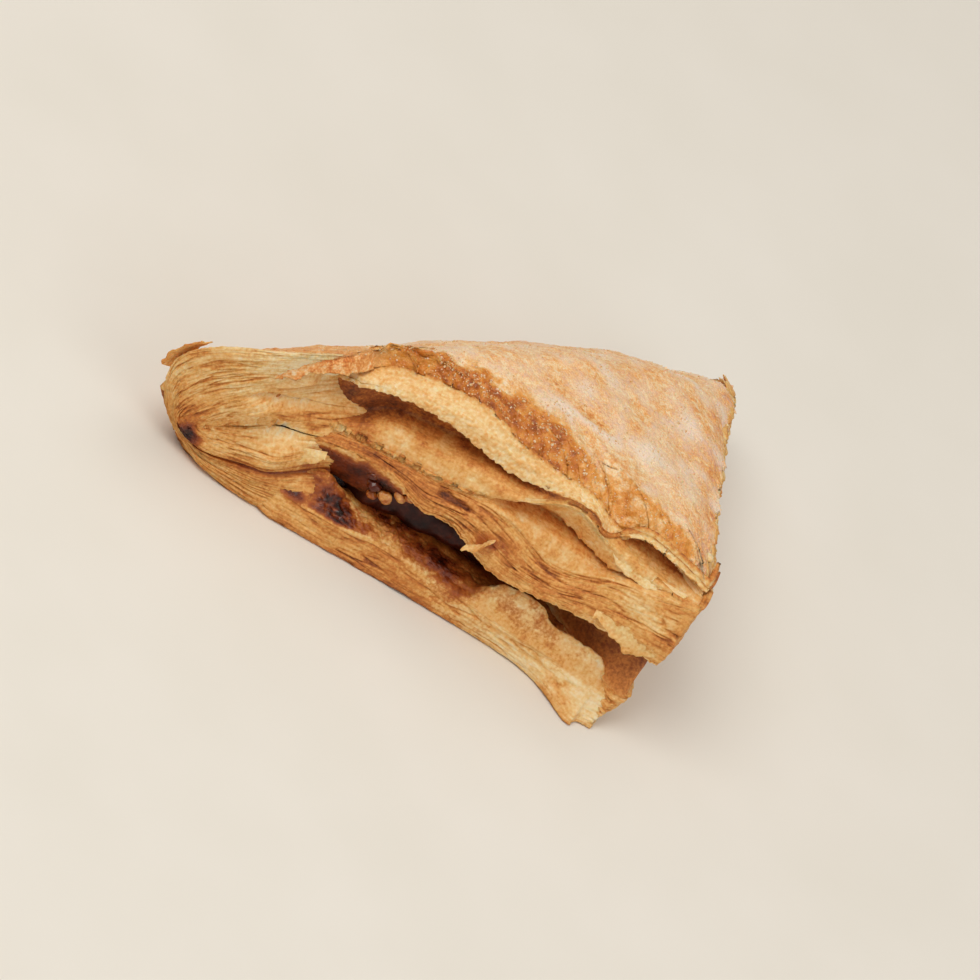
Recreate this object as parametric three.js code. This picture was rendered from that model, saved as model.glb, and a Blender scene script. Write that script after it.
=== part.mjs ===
import * as THREE from 'three';
import { LoftGeometry } from 'three/addons/geometries/LoftGeometry.js';

// A fruit turnover: a square of puff pastry folded over its diagonal and baked lying flat.
// Millimetres, +Z up. The fold runs from the left corner to the far corner, and the two cut
// sides meet at the right front corner. The front cut side has risen open, with the fruit
// filling between its sheets. The dough is a loft of sections that stand square to the fold.

// Driving dimensions
const CUT_SIDE = 112;         // length of each cut side, from the fold to the corner
const CROWN = 45;             // greatest height of the risen top
const FOLD_REACH = 11.5;      // how far the round fold stands out past the fold line
const FOLD_SHOULDER = 15;     // where the round of the fold runs into the top
const FOLD_CONTACT = 3;       // where the fold's underside comes down to the table
const UPPER_ROUND = 1.6;      // superellipse powers of the fold above and below its outermost line
const LOWER_ROUND = 1.1;
const LEFT_END = -9;          // first and last sections, measured along the cut sides
const FAR_END = 221.5;
const SECTIONS_FRONT = 44;    // sections along the front side and along the right side
const SECTIONS_RIGHT = 34;

// The upper layers have slid back over the bottom sheet
const SLIDE_FLOOR = 8;        // height up to which nothing slides
const SLIDE_PER_MM = 0.45;    // how far a layer slides back for each millimetre above it
const SLIDE_REACH = 0.95;     // share of the way back to the fold where the slide ends
const SLIDE_START = 35;       // distance from the left corner at which the slide is full

// They swell out past the corner
const SWELL = 3.6;            // how far the right side swells out by the corner
const SWELL_HEIGHT = 10;      // height at which it has swollen fully
const SWELL_TOP = 33;         // height above which it draws in by SWELL_DRAWN_IN
const SWELL_DRAWN_IN = 0.6;
const SWELL_START = 85;       // distance along the front at which it begins
const SWELL_FADE = [12, 50];  // distances up the right side between which it fades to SWELL_LEFT
const SWELL_LEFT = 0.1;

// Filling
const FILLING_GAP = 0.6;      // gap between the filling and the dough
const FILLING_START = 42;     // first and last sections of the filling
const FILLING_END = 99;
const FILLING_FRONT = 0.34;   // front and back of the filling, as shares of the mouth's depth
const FILLING_BACK = 0.85;
const FILLING_TIP = 0.7;      // front of the filling at its two ends, and how long they taper
const FILLING_TAPER = 12;

// Stations: [distance along the cut sides from the left corner, value]
const TOP_SHARE = [
  [-9, 0.78], [20, 0.91], [42, 0.97], [85, 1], [112, 0.98], [155, 0.87], [198, 0.69], [221, 0.63],
];
const FOLD_SHARE = [[-9, 0.85], [20, 1], [60, 0.86], [145, 0.86], [190, 0.45], [221, 0.07]];
const MIDDLE_SHARE = [[-9, 0.46], [25, 0.38], [221, 0.38]];
const BASE_LINE = [[2, 0], [14, -3.4], [32, -1], [57, 2], [92, 3.9], [107, -3], [114, 0], [160, -1]];
const FLOOR_LINE = [[2, 0], [14, -2], [36, -2.5], [62, 4], [108, 5.5], [119, -1], [160, 0]];
const RIM_LINE = [[-9, 0.2], [35, 1], [190, 1], [221, 0.2]];
const CRUST_LINE = [[-9, 0.6], [0, 1.5], [20, 5], [40, 10], [190, 9], [221, 0.5]];
const MOUTH_DEPTH = [
  [-9, 0.4], [18, 0.8], [26, 8], [36, 15], [50, 24], [65, 31], [80, 35], [95, 32],
  [105, 14], [111, 3], [116, 1.5], [190, 2.5], [221, 0.4],
];
const POCKET_DEPTH = [
  [-9, 0.3], [10, 0.8], [26, 5], [45, 12], [62, 13], [74, 8], [90, 9], [102, 4],
  [135, 5], [190, 4], [221, 0.3],
];

// Heights of the layer edges, as shares of the height of the cut side
const FLOOR_SHARE = [[-9, 0.2], [25, 0.155], [60, 0.145], [112, 0.2], [221, 0.25]];
const MOUTH_SHARE = [
  [-9, 0.36], [20, 0.3], [30, 0.42], [46, 0.5], [75, 0.4], [104, 0.47], [114, 0.56], [135, 0.46],
  [221, 0.44],
];
const BUNDLE_SHARE = [
  [-9, 0.5], [25, 0.57], [48, 0.58], [66, 0.66], [85, 0.57], [112, 0.77], [150, 0.7], [221, 0.6],
];
const LIP_SHARE = [
  [-9, 0.65], [16, 0.76], [37, 0.83], [60, 0.82], [90, 0.755], [112, 0.83], [221, 0.74],
];
const RIM_SHARE = [[-9, 0.82], [30, 0.92], [58, 0.95], [90, 0.86], [140, 0.92], [221, 0.87]];

const { clamp, lerp, smoothstep } = THREE.MathUtils;

function along(stations, s) {
  const last = stations.length - 1;
  const reach = clamp(s, stations[0][0], stations[last][0]);
  let i = 0;
  while (i < last - 1 && reach > stations[i + 1][0]) {
    i += 1;
  }
  const [from, start] = stations[i];
  const [to, end] = stations[i + 1];
  return lerp(start, end, smoothstep(reach, from, to));
}

// Heights of the outer shell over one section, at a distance across from the fold line
function shellAt(s, across) {
  const crown = CROWN * along(TOP_SHARE, s);
  const middle = along(MIDDLE_SHARE, s) * crown;
  const outermost = -FOLD_REACH * along(FOLD_SHARE, s);
  const upper = clamp((FOLD_SHOULDER - across) / (FOLD_SHOULDER - outermost), 0, 1);
  const lower = clamp((FOLD_CONTACT - across) / (FOLD_CONTACT - outermost), 0, 1);
  const top = middle + (crown - middle) * (1 - upper ** UPPER_ROUND) ** (1 / UPPER_ROUND);
  const under = middle * (1 - (1 - lower ** LOWER_ROUND) ** (1 / LOWER_ROUND));
  return { top, under, outermost, middle };
}

// Floor and roof of the mouth, as points across and up, at a share of its depth
function mouthAt(s, share) {
  const { rim, depths, heights } = cutSide(s);
  const middle = (heights.floor + heights.mouth) / 2;
  const floorDepth = lerp(depths.floor, depths.mouthBack, share);
  const roofDepth = lerp(-depths.rim, depths.mouthBack, share);
  return {
    floor: [rim - Math.SQRT2 * floorDepth, lerp(heights.floor, middle, share ** 4)],
    roof: [rim - Math.SQRT2 * roofDepth, lerp(heights.mouth, middle, share ** 3)],
  };
}

// Depths behind the cut plane and heights of the layer edges in one section
function cutSide(s) {
  const rim = Math.min(s, 2 * CUT_SIDE - s) / Math.SQRT2;
  const { top, under } = shellAt(s, rim);
  const share = (stations) => lerp(under, top, along(stations, s));
  const depths = {
    base: along(BASE_LINE, s),
    floor: along(FLOOR_LINE, s),
    mouthBack: along(FLOOR_LINE, s) + along(MOUTH_DEPTH, s),
    pocketBack: along(POCKET_DEPTH, s),
    rim: along(RIM_LINE, s),
    crust: along(CRUST_LINE, s),
  };
  const heights = {
    under,
    floor: share(FLOOR_SHARE),
    mouth: share(MOUTH_SHARE),
    bundle: share(BUNDLE_SHARE),
    lip: share(LIP_SHARE),
    rim: share(RIM_SHARE),
  };
  return { rim, depths, heights };
}

// From the section's own plane to the pastry, with the upper layers slid back and swollen
function place(s, across, height) {
  const x = (s / Math.SQRT2 + across) / Math.SQRT2;
  const y = (s / Math.SQRT2 - across) / Math.SQRT2;
  const slide = SLIDE_PER_MM * Math.max(0, height - SLIDE_FLOOR);
  const wayBack = clamp(1 - y / Math.max(SLIDE_REACH * x, 1), 0, 1);
  const slideHere = smoothstep(x, 0, SLIDE_START) * wayBack;
  const rise = 1 - (1 - clamp(height / SWELL_HEIGHT, 0, 1)) ** 2;
  const swell = SWELL * rise * (1 - SWELL_DRAWN_IN * smoothstep(height, SWELL_TOP, CROWN));
  const swellHere = smoothstep(x, SWELL_START, CUT_SIDE)
    * lerp(1, SWELL_LEFT, smoothstep(y, ...SWELL_FADE));
  return new THREE.Vector3(x + swell * swellHere, y + slide * slideHere, height);
}

function doughSection(s) {
  const { rim, depths, heights } = cutSide(s);
  const { outermost, middle } = shellAt(s, rim);
  const contact = Math.min(FOLD_CONTACT, rim - 1);
  const section = [];
  const at = (depth, height) => section.push([rim - Math.SQRT2 * depth, height]);

  // Underside of the fold, then the flat base out to the cut side
  for (const share of [0.25, 0.5, 0.75]) {
    const across = lerp(outermost, contact, share);
    section.push([across, shellAt(s, across).under]);
  }
  const baseEnd = rim - Math.SQRT2 * depths.base;
  for (const share of [0, 0.33, 0.67, 0.9]) {
    const across = lerp(contact, baseEnd, share);
    section.push([across, shellAt(s, across).under]);
  }
  at(depths.base, heights.under);

  // Cut edge of the bottom sheet, then the mouth: floor, back and roof
  at(lerp(depths.base, depths.floor, 0.5) - 0.3, lerp(heights.under, heights.floor, 0.5));
  const mouth = [0, 0.25, 0.5, 0.7, 0.85, 0.95].map((share) => mouthAt(s, share));
  section.push(...mouth.map(({ floor }) => floor));
  at(depths.mouthBack, (heights.floor + heights.mouth) / 2);
  section.push(...mouth.toReversed().map(({ roof }) => roof));

  // Bundle of thin layers, the upper pocket and the lip that roofs it
  at(-0.6 * depths.rim, lerp(heights.mouth, heights.bundle, 0.5));
  at(0, heights.bundle);
  const pocketMiddle = (heights.bundle + heights.lip) / 2;
  at(0.6 * depths.pocketBack, lerp(heights.bundle, pocketMiddle, 0.25));
  at(depths.pocketBack, pocketMiddle);
  at(0.7 * depths.pocketBack, lerp(heights.lip, pocketMiddle, 0.25));
  at(-depths.rim, heights.lip);
  at(-0.5 * depths.rim, lerp(heights.lip, heights.rim, 0.5));

  // Browned shoulder from the rim up to the crust, then the crust back round the fold
  at(depths.rim, heights.rim);
  const crustEdge = rim - Math.SQRT2 * depths.crust;
  const crustTop = shellAt(s, crustEdge).top;
  at(lerp(depths.rim, depths.crust, 0.4), lerp(heights.rim, crustTop, 0.7));
  for (const share of [0, 0.15, 0.3, 0.44, 0.57, 0.69, 0.79, 0.88, 0.95]) {
    const across = lerp(crustEdge, outermost, 1 - (1 - share) ** 2);
    section.push([across, shellAt(s, across).top]);
  }
  section.push([outermost, middle]);
  return section.map(([across, height]) => place(s, across, height));
}

function sectionStations() {
  const front = (i) => lerp(LEFT_END, CUT_SIDE, i / SECTIONS_FRONT);
  const right = (i) => lerp(CUT_SIDE, FAR_END, (i + 1) / SECTIONS_RIGHT);
  return [
    ...Array.from({ length: SECTIONS_FRONT + 1 }, (_, i) => front(i)),
    ...Array.from({ length: SECTIONS_RIGHT }, (_, i) => right(i)),
  ];
}

// The filling is a mound that lies between the sheets, from just inside the mouth to its back
function fillingSection(s) {
  const nose = smoothstep(s, FILLING_START, FILLING_START + FILLING_TAPER);
  const tail = 1 - smoothstep(s, FILLING_END - FILLING_TAPER, FILLING_END);
  const front = lerp(FILLING_TIP, FILLING_FRONT, nose * tail);
  const shares = [0, 0.08, 0.25, 0.45, 0.7, 1].map((part) => lerp(front, FILLING_BACK, part));
  const fill = [0.3, 0.62, 0.8, 0.9, 1, 1];
  const section = [];
  for (const share of shares.toReversed()) {
    const { floor, roof } = mouthAt(s, share);
    section.push([roof[0], floor[1] + FILLING_GAP]);
  }
  shares.forEach((share, i) => {
    const { floor, roof } = mouthAt(s, share);
    section.push([roof[0], lerp(floor[1] + FILLING_GAP, roof[1] - FILLING_GAP, fill[i])]);
  });
  return section.map(([across, height]) => place(s, across, height));
}

function loft(sections) {
  const inOrder = sections.map((section) => section.slice().reverse());
  return new LoftGeometry(inOrder, { capStart: true, capEnd: true });
}

function named(name, geometry, colour, roughness) {
  const material = new THREE.MeshStandardMaterial({ color: colour, roughness, metalness: 0 });
  const mesh = new THREE.Mesh(geometry, material);
  mesh.name = name;
  return mesh;
}

const stations = sectionStations();
const fillingStations = stations.filter((s) => s >= FILLING_START && s <= FILLING_END);
const turnover = new THREE.Group();
turnover.add(named('pastry', loft(stations.map(doughSection)), 0xd9a05b, 0.75));
turnover.add(named('filling', loft(fillingStations.map(fillingSection)), 0x5a1f12, 0.3));

// The origin is the middle of the footprint, on the table
const box = new THREE.Box3().setFromObject(turnover);
const middle = box.getCenter(new THREE.Vector3());
turnover.position.set(-middle.x, -middle.y, -box.min.z);

export default turnover;
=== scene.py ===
import math

import bpy
import numpy as np
from mathutils import Matrix, Vector, noise


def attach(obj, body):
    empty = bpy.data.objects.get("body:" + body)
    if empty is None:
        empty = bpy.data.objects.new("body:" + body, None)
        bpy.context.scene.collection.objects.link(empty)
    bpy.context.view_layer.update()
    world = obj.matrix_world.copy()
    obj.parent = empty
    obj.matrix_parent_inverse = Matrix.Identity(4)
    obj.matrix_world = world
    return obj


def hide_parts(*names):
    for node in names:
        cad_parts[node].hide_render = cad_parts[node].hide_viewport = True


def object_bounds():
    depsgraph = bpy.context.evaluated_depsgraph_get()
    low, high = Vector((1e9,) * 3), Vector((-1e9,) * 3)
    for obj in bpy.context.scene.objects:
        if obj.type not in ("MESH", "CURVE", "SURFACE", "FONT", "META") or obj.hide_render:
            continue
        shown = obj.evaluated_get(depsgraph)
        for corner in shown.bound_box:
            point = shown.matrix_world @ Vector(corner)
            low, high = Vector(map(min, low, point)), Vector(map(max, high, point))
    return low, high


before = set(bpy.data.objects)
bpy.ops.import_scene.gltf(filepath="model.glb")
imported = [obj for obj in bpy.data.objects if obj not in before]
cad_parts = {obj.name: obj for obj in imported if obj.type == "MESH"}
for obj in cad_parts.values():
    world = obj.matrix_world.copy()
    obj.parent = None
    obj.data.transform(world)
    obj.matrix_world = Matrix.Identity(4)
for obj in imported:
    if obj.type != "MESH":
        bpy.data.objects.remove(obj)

bl_info = {
    "name": "Turnover pastry",
    "version": (1, 0, 0),
    "blender": (4, 5, 0),
    "location": "View3D > Sidebar > Turnover",
    "description": "Models a baked fruit turnover: leaves of dough, sugared crust and filling",
    "category": "Add Mesh",
}

MM = 0.001
ROOT_2 = math.sqrt(2)
CAD_LOW, CAD_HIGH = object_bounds()

# The fold line's left end, from the low corner of the model's box
FOLD_END = Vector((11.41 * MM, 3.34 * MM, 0))

# First and last section of the dough, along the cut sides, and of its open front and its filling
LEFT_END, FAR_END = -9, 221.5
FRONT_START, FRONT_END = 12, 113.4
FILLING_START, FILLING_END = 42, 99
# Front and back of the filling, as shares of the mouth's depth, its front at its two tips, and how
# long they taper
FILLING_FRONT, FILLING_BACK, FILLING_TIP, FILLING_TAPER = 0.34, 0.86, 0.7, 12
# Superellipse powers of the fold above and below its outermost line
UPPER_ROUND, LOWER_ROUND = 1.6, 1.1
# The slide: the height up to which nothing slides, the share of the way back to the fold where it
# ends, and the place along the front from which it is full
SLIDE_FLOOR, SLIDE_REACH, SLIDE_START = 8, 0.95, 35
# The swelling by the corner: the height at which it is full, the height above which it draws in and
# by how much, the place along the front where it begins, and the places up the right side between
# which it fades to the share that is left
SWELL_HEIGHT, SWELL_TOP, SWELL_DRAWN_IN, SWELL_START = 10, 33, 0.6, 85
SWELL_FADE, SWELL_LEFT = (12, 50), 0.1

# Sections of the dough and of its crust, which stops short of the tip, and columns of the rolled
# leaves with the length of their run in millimetres
DOUGH_SECTIONS, CRUST_SECTIONS, CRUST_FAR_END = 420, 620, 221
ROLL_COLUMNS, ROLL_LENGTH = 330, 95
# Rows between each two lines of the roll, and how softly its surface runs through them
ROLL_ROWS, ROLL_SOFTNESS = (24, 34, 42, 44, 16), 0.8
# How far the open front's left end dips behind the rolled leaves, and over which stretch
FRONT_DIP, FRONT_DIP_STRETCH = 6, (14, 27)
# How far out and how far back the open front turns round the corner, and in how many columns
CORNER_OUT, CORNER_BACK, CORNER_COLUMNS = 0.9, 7, 12
# Points closer than this are merged, and no face piece comes nearer to the table than this
MERGE = 0.002 * MM
LOWEST = 0.1 * MM
# A face's relief fades out where its rows lie this close together, in millimetres
CROWDED = (0.015, 0.08)
# The backs of the faces and of the crust have one row for so many of the front
FACE_BACK_STEP, CRUST_BACK_STEP = 6, 7
CRUST_THICKNESS = 0.6 * MM

# Settings of maths and mix nodes
TIMES = {"operation": "MULTIPLY"}
PLUS = {"operation": "ADD"}
MINUS = {"operation": "SUBTRACT"}
TIMES_PLUS = {"operation": "MULTIPLY_ADD"}
COLOURS = {"data_type": "RGBA"}
# How far red, green and blue light spread inside the crumb, as shares
CRUMB_GLOW = (1.0, 0.5, 0.2)

# Stations: (millimetres along the cut sides from the left corner, value)
TOP_SHARE = (
    (-9, 0.78), (20, 0.91), (42, 0.97), (85, 1), (112, 0.98), (155, 0.87), (198, 0.69),
    (221, 0.63),
)
FOLD_SHARE = ((-9, 0.85), (20, 1), (60, 0.86), (145, 0.86), (190, 0.45), (221, 0.07))
MIDDLE_SHARE = ((-9, 0.46), (25, 0.38), (221, 0.38))
BASE_DEPTH = ((2, 0), (14, -3.4), (32, -1), (57, 2), (92, 3.9), (107, -3), (114, 0), (160, -1))
FLOOR_DEPTH = ((2, 0), (14, -2), (36, -2.5), (62, 4), (108, 5.5), (119, -1), (160, 0))
RIM_DEPTH = ((-9, 0.2), (35, 1), (190, 1), (221, 0.2))
CRUST_DEPTH = ((-9, 0.6), (0, 1.5), (20, 5), (40, 10), (190, 9), (221, 0.5))
MOUTH_DEPTH = (
    (-9, 0.4), (18, 0.8), (26, 8), (36, 15), (50, 24), (65, 31), (80, 35), (95, 32), (105, 14),
    (111, 3), (116, 1.5), (190, 2.5), (221, 0.4),
)
POCKET_DEPTH = (
    (-9, 0.3), (10, 0.8), (26, 5), (45, 12), (62, 13), (74, 8), (90, 9), (102, 4), (135, 5),
    (190, 4), (221, 0.3),
)
FLOOR_SHARE = ((-9, 0.2), (25, 0.155), (60, 0.145), (112, 0.2), (221, 0.25))
MOUTH_SHARE = (
    (-9, 0.36), (20, 0.3), (30, 0.42), (46, 0.5), (75, 0.4), (104, 0.47), (114, 0.56),
    (135, 0.46), (221, 0.44),
)
BUNDLE_SHARE = (
    (-9, 0.5), (25, 0.57), (48, 0.58), (66, 0.66), (85, 0.57), (112, 0.77), (150, 0.7), (221, 0.6),
)
LIP_SHARE = ((-9, 0.65), (16, 0.76), (37, 0.83), (60, 0.82), (90, 0.755), (112, 0.83), (221, 0.74))
RIM_SHARE = ((-9, 0.82), (30, 0.92), (58, 0.95), (90, 0.86), (140, 0.92), (221, 0.87))

# The open front's layer edges: (millimetres along the front, height)
MOUTH_EDGE = ((10, 12), (30, 21.5), (42, 23), (52, 21), (60, 22), (75, 17.5), (97, 21.5), (115, 22))
BUNDLE_EDGE = ((10, 17), (28, 23), (54, 27.5), (67, 30), (84, 26), (97, 32), (112, 37))
LEAF_HEM = ((10, 18), (28, 24), (56, 28.5), (73, 34), (91, 31.5), (107, 36), (116, 38))
LEAF_RIDGE = ((10, 19), (30, 24.5), (54, 29), (70, 35), (80, 40), (91, 37), (106, 36), (116, 38))
LIP_EDGE = (
    (10, 27), (28, 35.5), (45, 38.5), (64, 37), (78, 41), (85, 41), (90, 37), (98, 41), (114, 38.5))
LIP_TOP = ((10, 31), (28, 38), (48, 43.5), (66, 42), (82, 41.5), (91, 38), (98, 42), (114, 39.5))
# How far back they lie: (millimetres along the front, depth)
FLOOR_RIM = ((10, -3), (25, -0.5), (40, 0.5), (56, 3.3), (100, 4), (116, 4))
CAVE_BACK = ((10, 8), (28, 10.5), (36, 12), (50, 24), (75, 31), (92, 25), (104, 19), (116, 16))
LOW_POCKET_BACK = ((10, 7), (60, 9), (72, 16), (96, 17), (107, 10.5), (116, 9.5))
HEM_DEPTH = ((10, 7), (28, 8.5), (62, 9), (76, 14), (88, 13.5), (97, 10.5), (116, 10))
RIDGE_DEPTH = ((10, 7), (30, 8.8), (64, 8.8), (76, 11), (92, 11), (106, 12.4), (116, 12))
HIGH_POCKET_BACK = (
    (10, 8), (28, 14), (38, 17.5), (64, 17.5), (74, 12), (88, 12), (95, 19), (109, 18), (116, 14))
LIP_DEPTH = ((10, 4), (31, 12), (86, 12.3), (92, 14.5), (116, 14))
TOP_DEPTH = ((10, 6), (29, 17.5), (50, 18), (64, 15.7), (92, 16.4), (116, 16))
# How far the mouth's roof hangs down inside its left end, and how high the torn crest stands
ROOF_DROP = ((10, 2), (26, 8.5), (40, 10.5), (47, 5), (52, 1.5), (116, 1.5))
CREST = ((74, 0), (79, 6), (88, 7), (93, 4), (105, 4.3), (110, 0))
# How far the caramel runs back over the crust, and how dark it is
CARAMEL_WIDTH = ((20, 2), (32, 7), (42, 12), (68, 12), (81, 6.5), (92, 9), (108, 5), (116, 3))
CARAMEL_SHADE = ((20, 0.3), (36, 0.9), (66, 1), (84, 0.62), (108, 0.66), (116, 0.5))

# Leaves that turn round each other at the fold's end: from the right over the nose and back out,
# (millimetres along the front, height)
ROLL_CORE = ((32, 22), (14, 17.6), (6, 12), (14, 17.2), (31, 21.7))
ROLL_HEART = ((34, 26.5), (12, 22), (2.4, 11), (10, 11), (32, 18.5))
ROLL_SKIN = ((36, 31), (9, 27), (-2.4, 10), (5, 5), (32, 14.5))
FOLD_SKIN = ((36, 36.5), (6, 38), (-12, 21.5), (0, 3), (37, 0.4))
# Depth at which they end, behind the open front's own profile beside them: (height, depth)
FRONT_PROFILE = ((0, 0.5), (7, 1.5), (9, 8), (21, 8), (25, 12), (29, 20), (36, 20), (39, 21))


class TurnoverShape(bpy.types.PropertyGroup):
    """Sizes of the folded and baked dough."""

    cut_side: bpy.props.FloatProperty(
        name="Cut side", description="Length of each cut side", default=112 * MM, unit="LENGTH")
    crown: bpy.props.FloatProperty(
        name="Crown", description="Height of the risen top",
        default=CAD_HIGH.z - CAD_LOW.z, unit="LENGTH")
    fold_reach: bpy.props.FloatProperty(
        name="Fold reach", description="How far the round fold stands out past the fold line",
        default=11.5 * MM, unit="LENGTH")
    fold_shoulder: bpy.props.FloatProperty(
        name="Fold shoulder", description="Where the round of the fold runs into the top",
        default=15 * MM, unit="LENGTH")
    fold_contact: bpy.props.FloatProperty(
        name="Fold contact", description="Where the fold comes down to the table",
        default=3 * MM, unit="LENGTH")
    slide: bpy.props.FloatProperty(
        name="Slide", description="How far a layer has slid back for each length of its height",
        default=0.45)
    swell: bpy.props.FloatProperty(
        name="Swell", description="How far the layers swell out by the corner",
        default=3.6 * MM, unit="LENGTH")


class TurnoverLeaves(bpy.types.PropertyGroup):
    """Sizes of the leaves of dough that show at the cut sides."""

    thickness: bpy.props.FloatProperty(
        name="Leaf", description="Thickness of one leaf", default=0.28 * MM, unit="LENGTH")
    skin: bpy.props.FloatProperty(
        name="Skin", description="Thickness of the open front's skin", default=0.9 * MM, unit="LENGTH")
    column: bpy.props.FloatProperty(
        name="Column", description="Width of a column of the open front's mesh",
        default=0.3 * MM, unit="LENGTH")


class TurnoverSugar(bpy.types.PropertyGroup):
    """The sugar baked on the crust."""

    grain: bpy.props.FloatProperty(
        name="Grain", description="Size of a sugar crystal", default=0.27 * MM, unit="LENGTH")
    count: bpy.props.IntProperty(
        name="Crystals", description="Crystals on the crust", default=2400, min=0)


class TurnoverStage(bpy.types.PropertyGroup):
    """The camera."""

    azimuth: bpy.props.FloatProperty(
        name="Azimuth", description="Camera's turn round the pastry",
        default=math.radians(-14.5), subtype="ANGLE")
    elevation: bpy.props.FloatProperty(
        name="Elevation", description="Camera's height above the table",
        default=math.radians(37), subtype="ANGLE")
    roll: bpy.props.FloatProperty(
        name="Roll", description="Camera's turn about its own line of sight",
        default=math.radians(43), subtype="ANGLE")
    distance: bpy.props.FloatProperty(
        name="Distance", description="From the camera to its target", default=3.012, unit="LENGTH")
    lens: bpy.props.FloatProperty(name="Lens", description="Focal length in mm", default=500)
    target: bpy.props.FloatVectorProperty(
        name="Target", description="What the camera looks at, from the fold line's left end",
        default=(67.7 * MM, 31.6 * MM, 15 * MM), unit="LENGTH")


def along(stations, s):
    """The value at a distance along the cut sides, eased from one station to the next."""
    places, values = np.array(stations, dtype=float).T
    s = np.clip(s, places[0], places[-1])
    i = np.clip(np.searchsorted(places, s, side="right") - 1, 0, len(places) - 2)
    share = (s - places[i]) / (places[i + 1] - places[i])
    eased = share * share * (3 - 2 * share)
    return values[i] + (values[i + 1] - values[i]) * eased


def ease(value, low, high):
    """Smooth step from 0 at low to 1 at high."""
    share = np.clip((value - low) / (high - low), 0, 1)
    return share * share * (3 - 2 * share)


def mix(a, b, share):
    return a + (b - a) * share


def shape_mm(name):
    return getattr(bpy.context.scene.turnover_shape, name) / MM


def shell(s, across):
    """Heights of the outer shell's top and underside, and where the fold stands out most."""
    crown = shape_mm("crown") * along(TOP_SHARE, s)
    middle = along(MIDDLE_SHARE, s) * crown
    outermost = -shape_mm("fold_reach") * along(FOLD_SHARE, s)
    shoulder = shape_mm("fold_shoulder")
    contact = shape_mm("fold_contact")
    upper = np.clip((shoulder - across) / (shoulder - outermost), 0, 1)
    lower = np.clip((contact - across) / (contact - outermost), 0, 1)
    top = middle + (crown - middle) * (1 - upper ** UPPER_ROUND) ** (1 / UPPER_ROUND)
    under = middle * (1 - (1 - lower ** LOWER_ROUND) ** (1 / LOWER_ROUND))
    return top, under, outermost


def rim_across(s):
    return np.minimum(s, 2 * shape_mm("cut_side") - s) / ROOT_2


def layer_lines(s):
    """Depth behind the cut plane and height of each layer edge, from the base up to the crust."""
    top, under, _ = shell(s, rim_across(s))

    def height(stations):
        return mix(under, top, along(stations, s))

    rim = along(RIM_DEPTH, s)
    crust = along(CRUST_DEPTH, s)
    crust_top, _, _ = shell(s, rim_across(s) - ROOT_2 * crust)
    return {
        "base": (along(BASE_DEPTH, s), under),
        "floor": (along(FLOOR_DEPTH, s), height(FLOOR_SHARE)),
        "mouth": (-rim, height(MOUTH_SHARE)),
        "bundle": (0 * rim, height(BUNDLE_SHARE)),
        "lip": (-rim, height(LIP_SHARE)),
        "rim": (rim, height(RIM_SHARE)),
        "crust": (crust, crust_top),
    }


def slid(x, y, height):
    """The pastry's own place in metres, with its upper layers slid back and swollen out."""
    slide = bpy.context.scene.turnover_shape.slide
    back = slide * np.maximum(height - SLIDE_FLOOR, 0) * ease(x, 0, SLIDE_START)
    back = back * np.clip(1 - y / np.maximum(SLIDE_REACH * x, 1), 0, 1)
    rise = 1 - (1 - np.clip(height / SWELL_HEIGHT, 0, 1)) ** 2
    out = shape_mm("swell") * rise * (1 - SWELL_DRAWN_IN * ease(height, SWELL_TOP, shape_mm("crown")))
    out = out * ease(x, SWELL_START, shape_mm("cut_side"))
    out = out * (1 - (1 - SWELL_LEFT) * ease(y, *SWELL_FADE))
    return own_place(np.stack(np.broadcast_arrays(x + out, y + back, height), axis=-1))


def place(s, across, height):
    """From a section square to the fold to the pastry's own place."""
    return slid((s / ROOT_2 + across) / ROOT_2, (s / ROOT_2 - across) / ROOT_2, height)


def at_depth(s, depth, height):
    return place(s, rim_across(s) - ROOT_2 * depth, height)


def own_place(points):
    """From millimetres off the fold line's left end to the pastry's own place in metres."""
    return np.asarray(points, dtype=float) * MM + np.array(CAD_LOW + FOLD_END)


def in_mm(points):
    """From the pastry's own place in metres to millimetres off the fold line's left end."""
    return (points - np.array(CAD_LOW + FOLD_END)) / MM


def wobble(s, seed, waves):
    """Seeded waves along a line: (wave length, height) in millimetres."""
    chance = np.random.default_rng(seed)
    total = np.zeros_like(s, dtype=float)
    for length, amount in waves:
        for part in (1, 0.63):
            turn = chance.uniform(0, 2 * math.pi)
            wave = length * part * chance.uniform(0.85, 1.15)
            total = total + part * amount * np.sin(2 * math.pi * s / wave + turn)
    return total


def grain(points, size, seed, octaves=3):
    """Seeded noise, about -1 to 1, at points in metres with a grain size in millimetres."""
    shift = Vector((seed * 17.3, seed * 5.9, seed * 11.1))
    flat = points.reshape(-1, 3) / (size * MM)
    values = [noise.fractal(Vector(p) + shift, 1.0, 2.0, octaves) for p in flat]
    return np.array(values).reshape(points.shape[:-1])


def outward(points, sign=1):
    """Unit normals of a grid of points."""
    down = np.gradient(points, axis=0)
    across = np.gradient(points, axis=1)
    normal = np.cross(down, across) * sign
    return normal / np.maximum(np.linalg.norm(normal, axis=-1, keepdims=True), 1e-12)


def spot(places, middle, reach):
    """1 at the middle of a stain or bump, fading to 0 over its reach."""
    away = sum(((place - centre) / size) ** 2 for place, centre, size in zip(places, middle, reach))
    return np.exp(-away)


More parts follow.
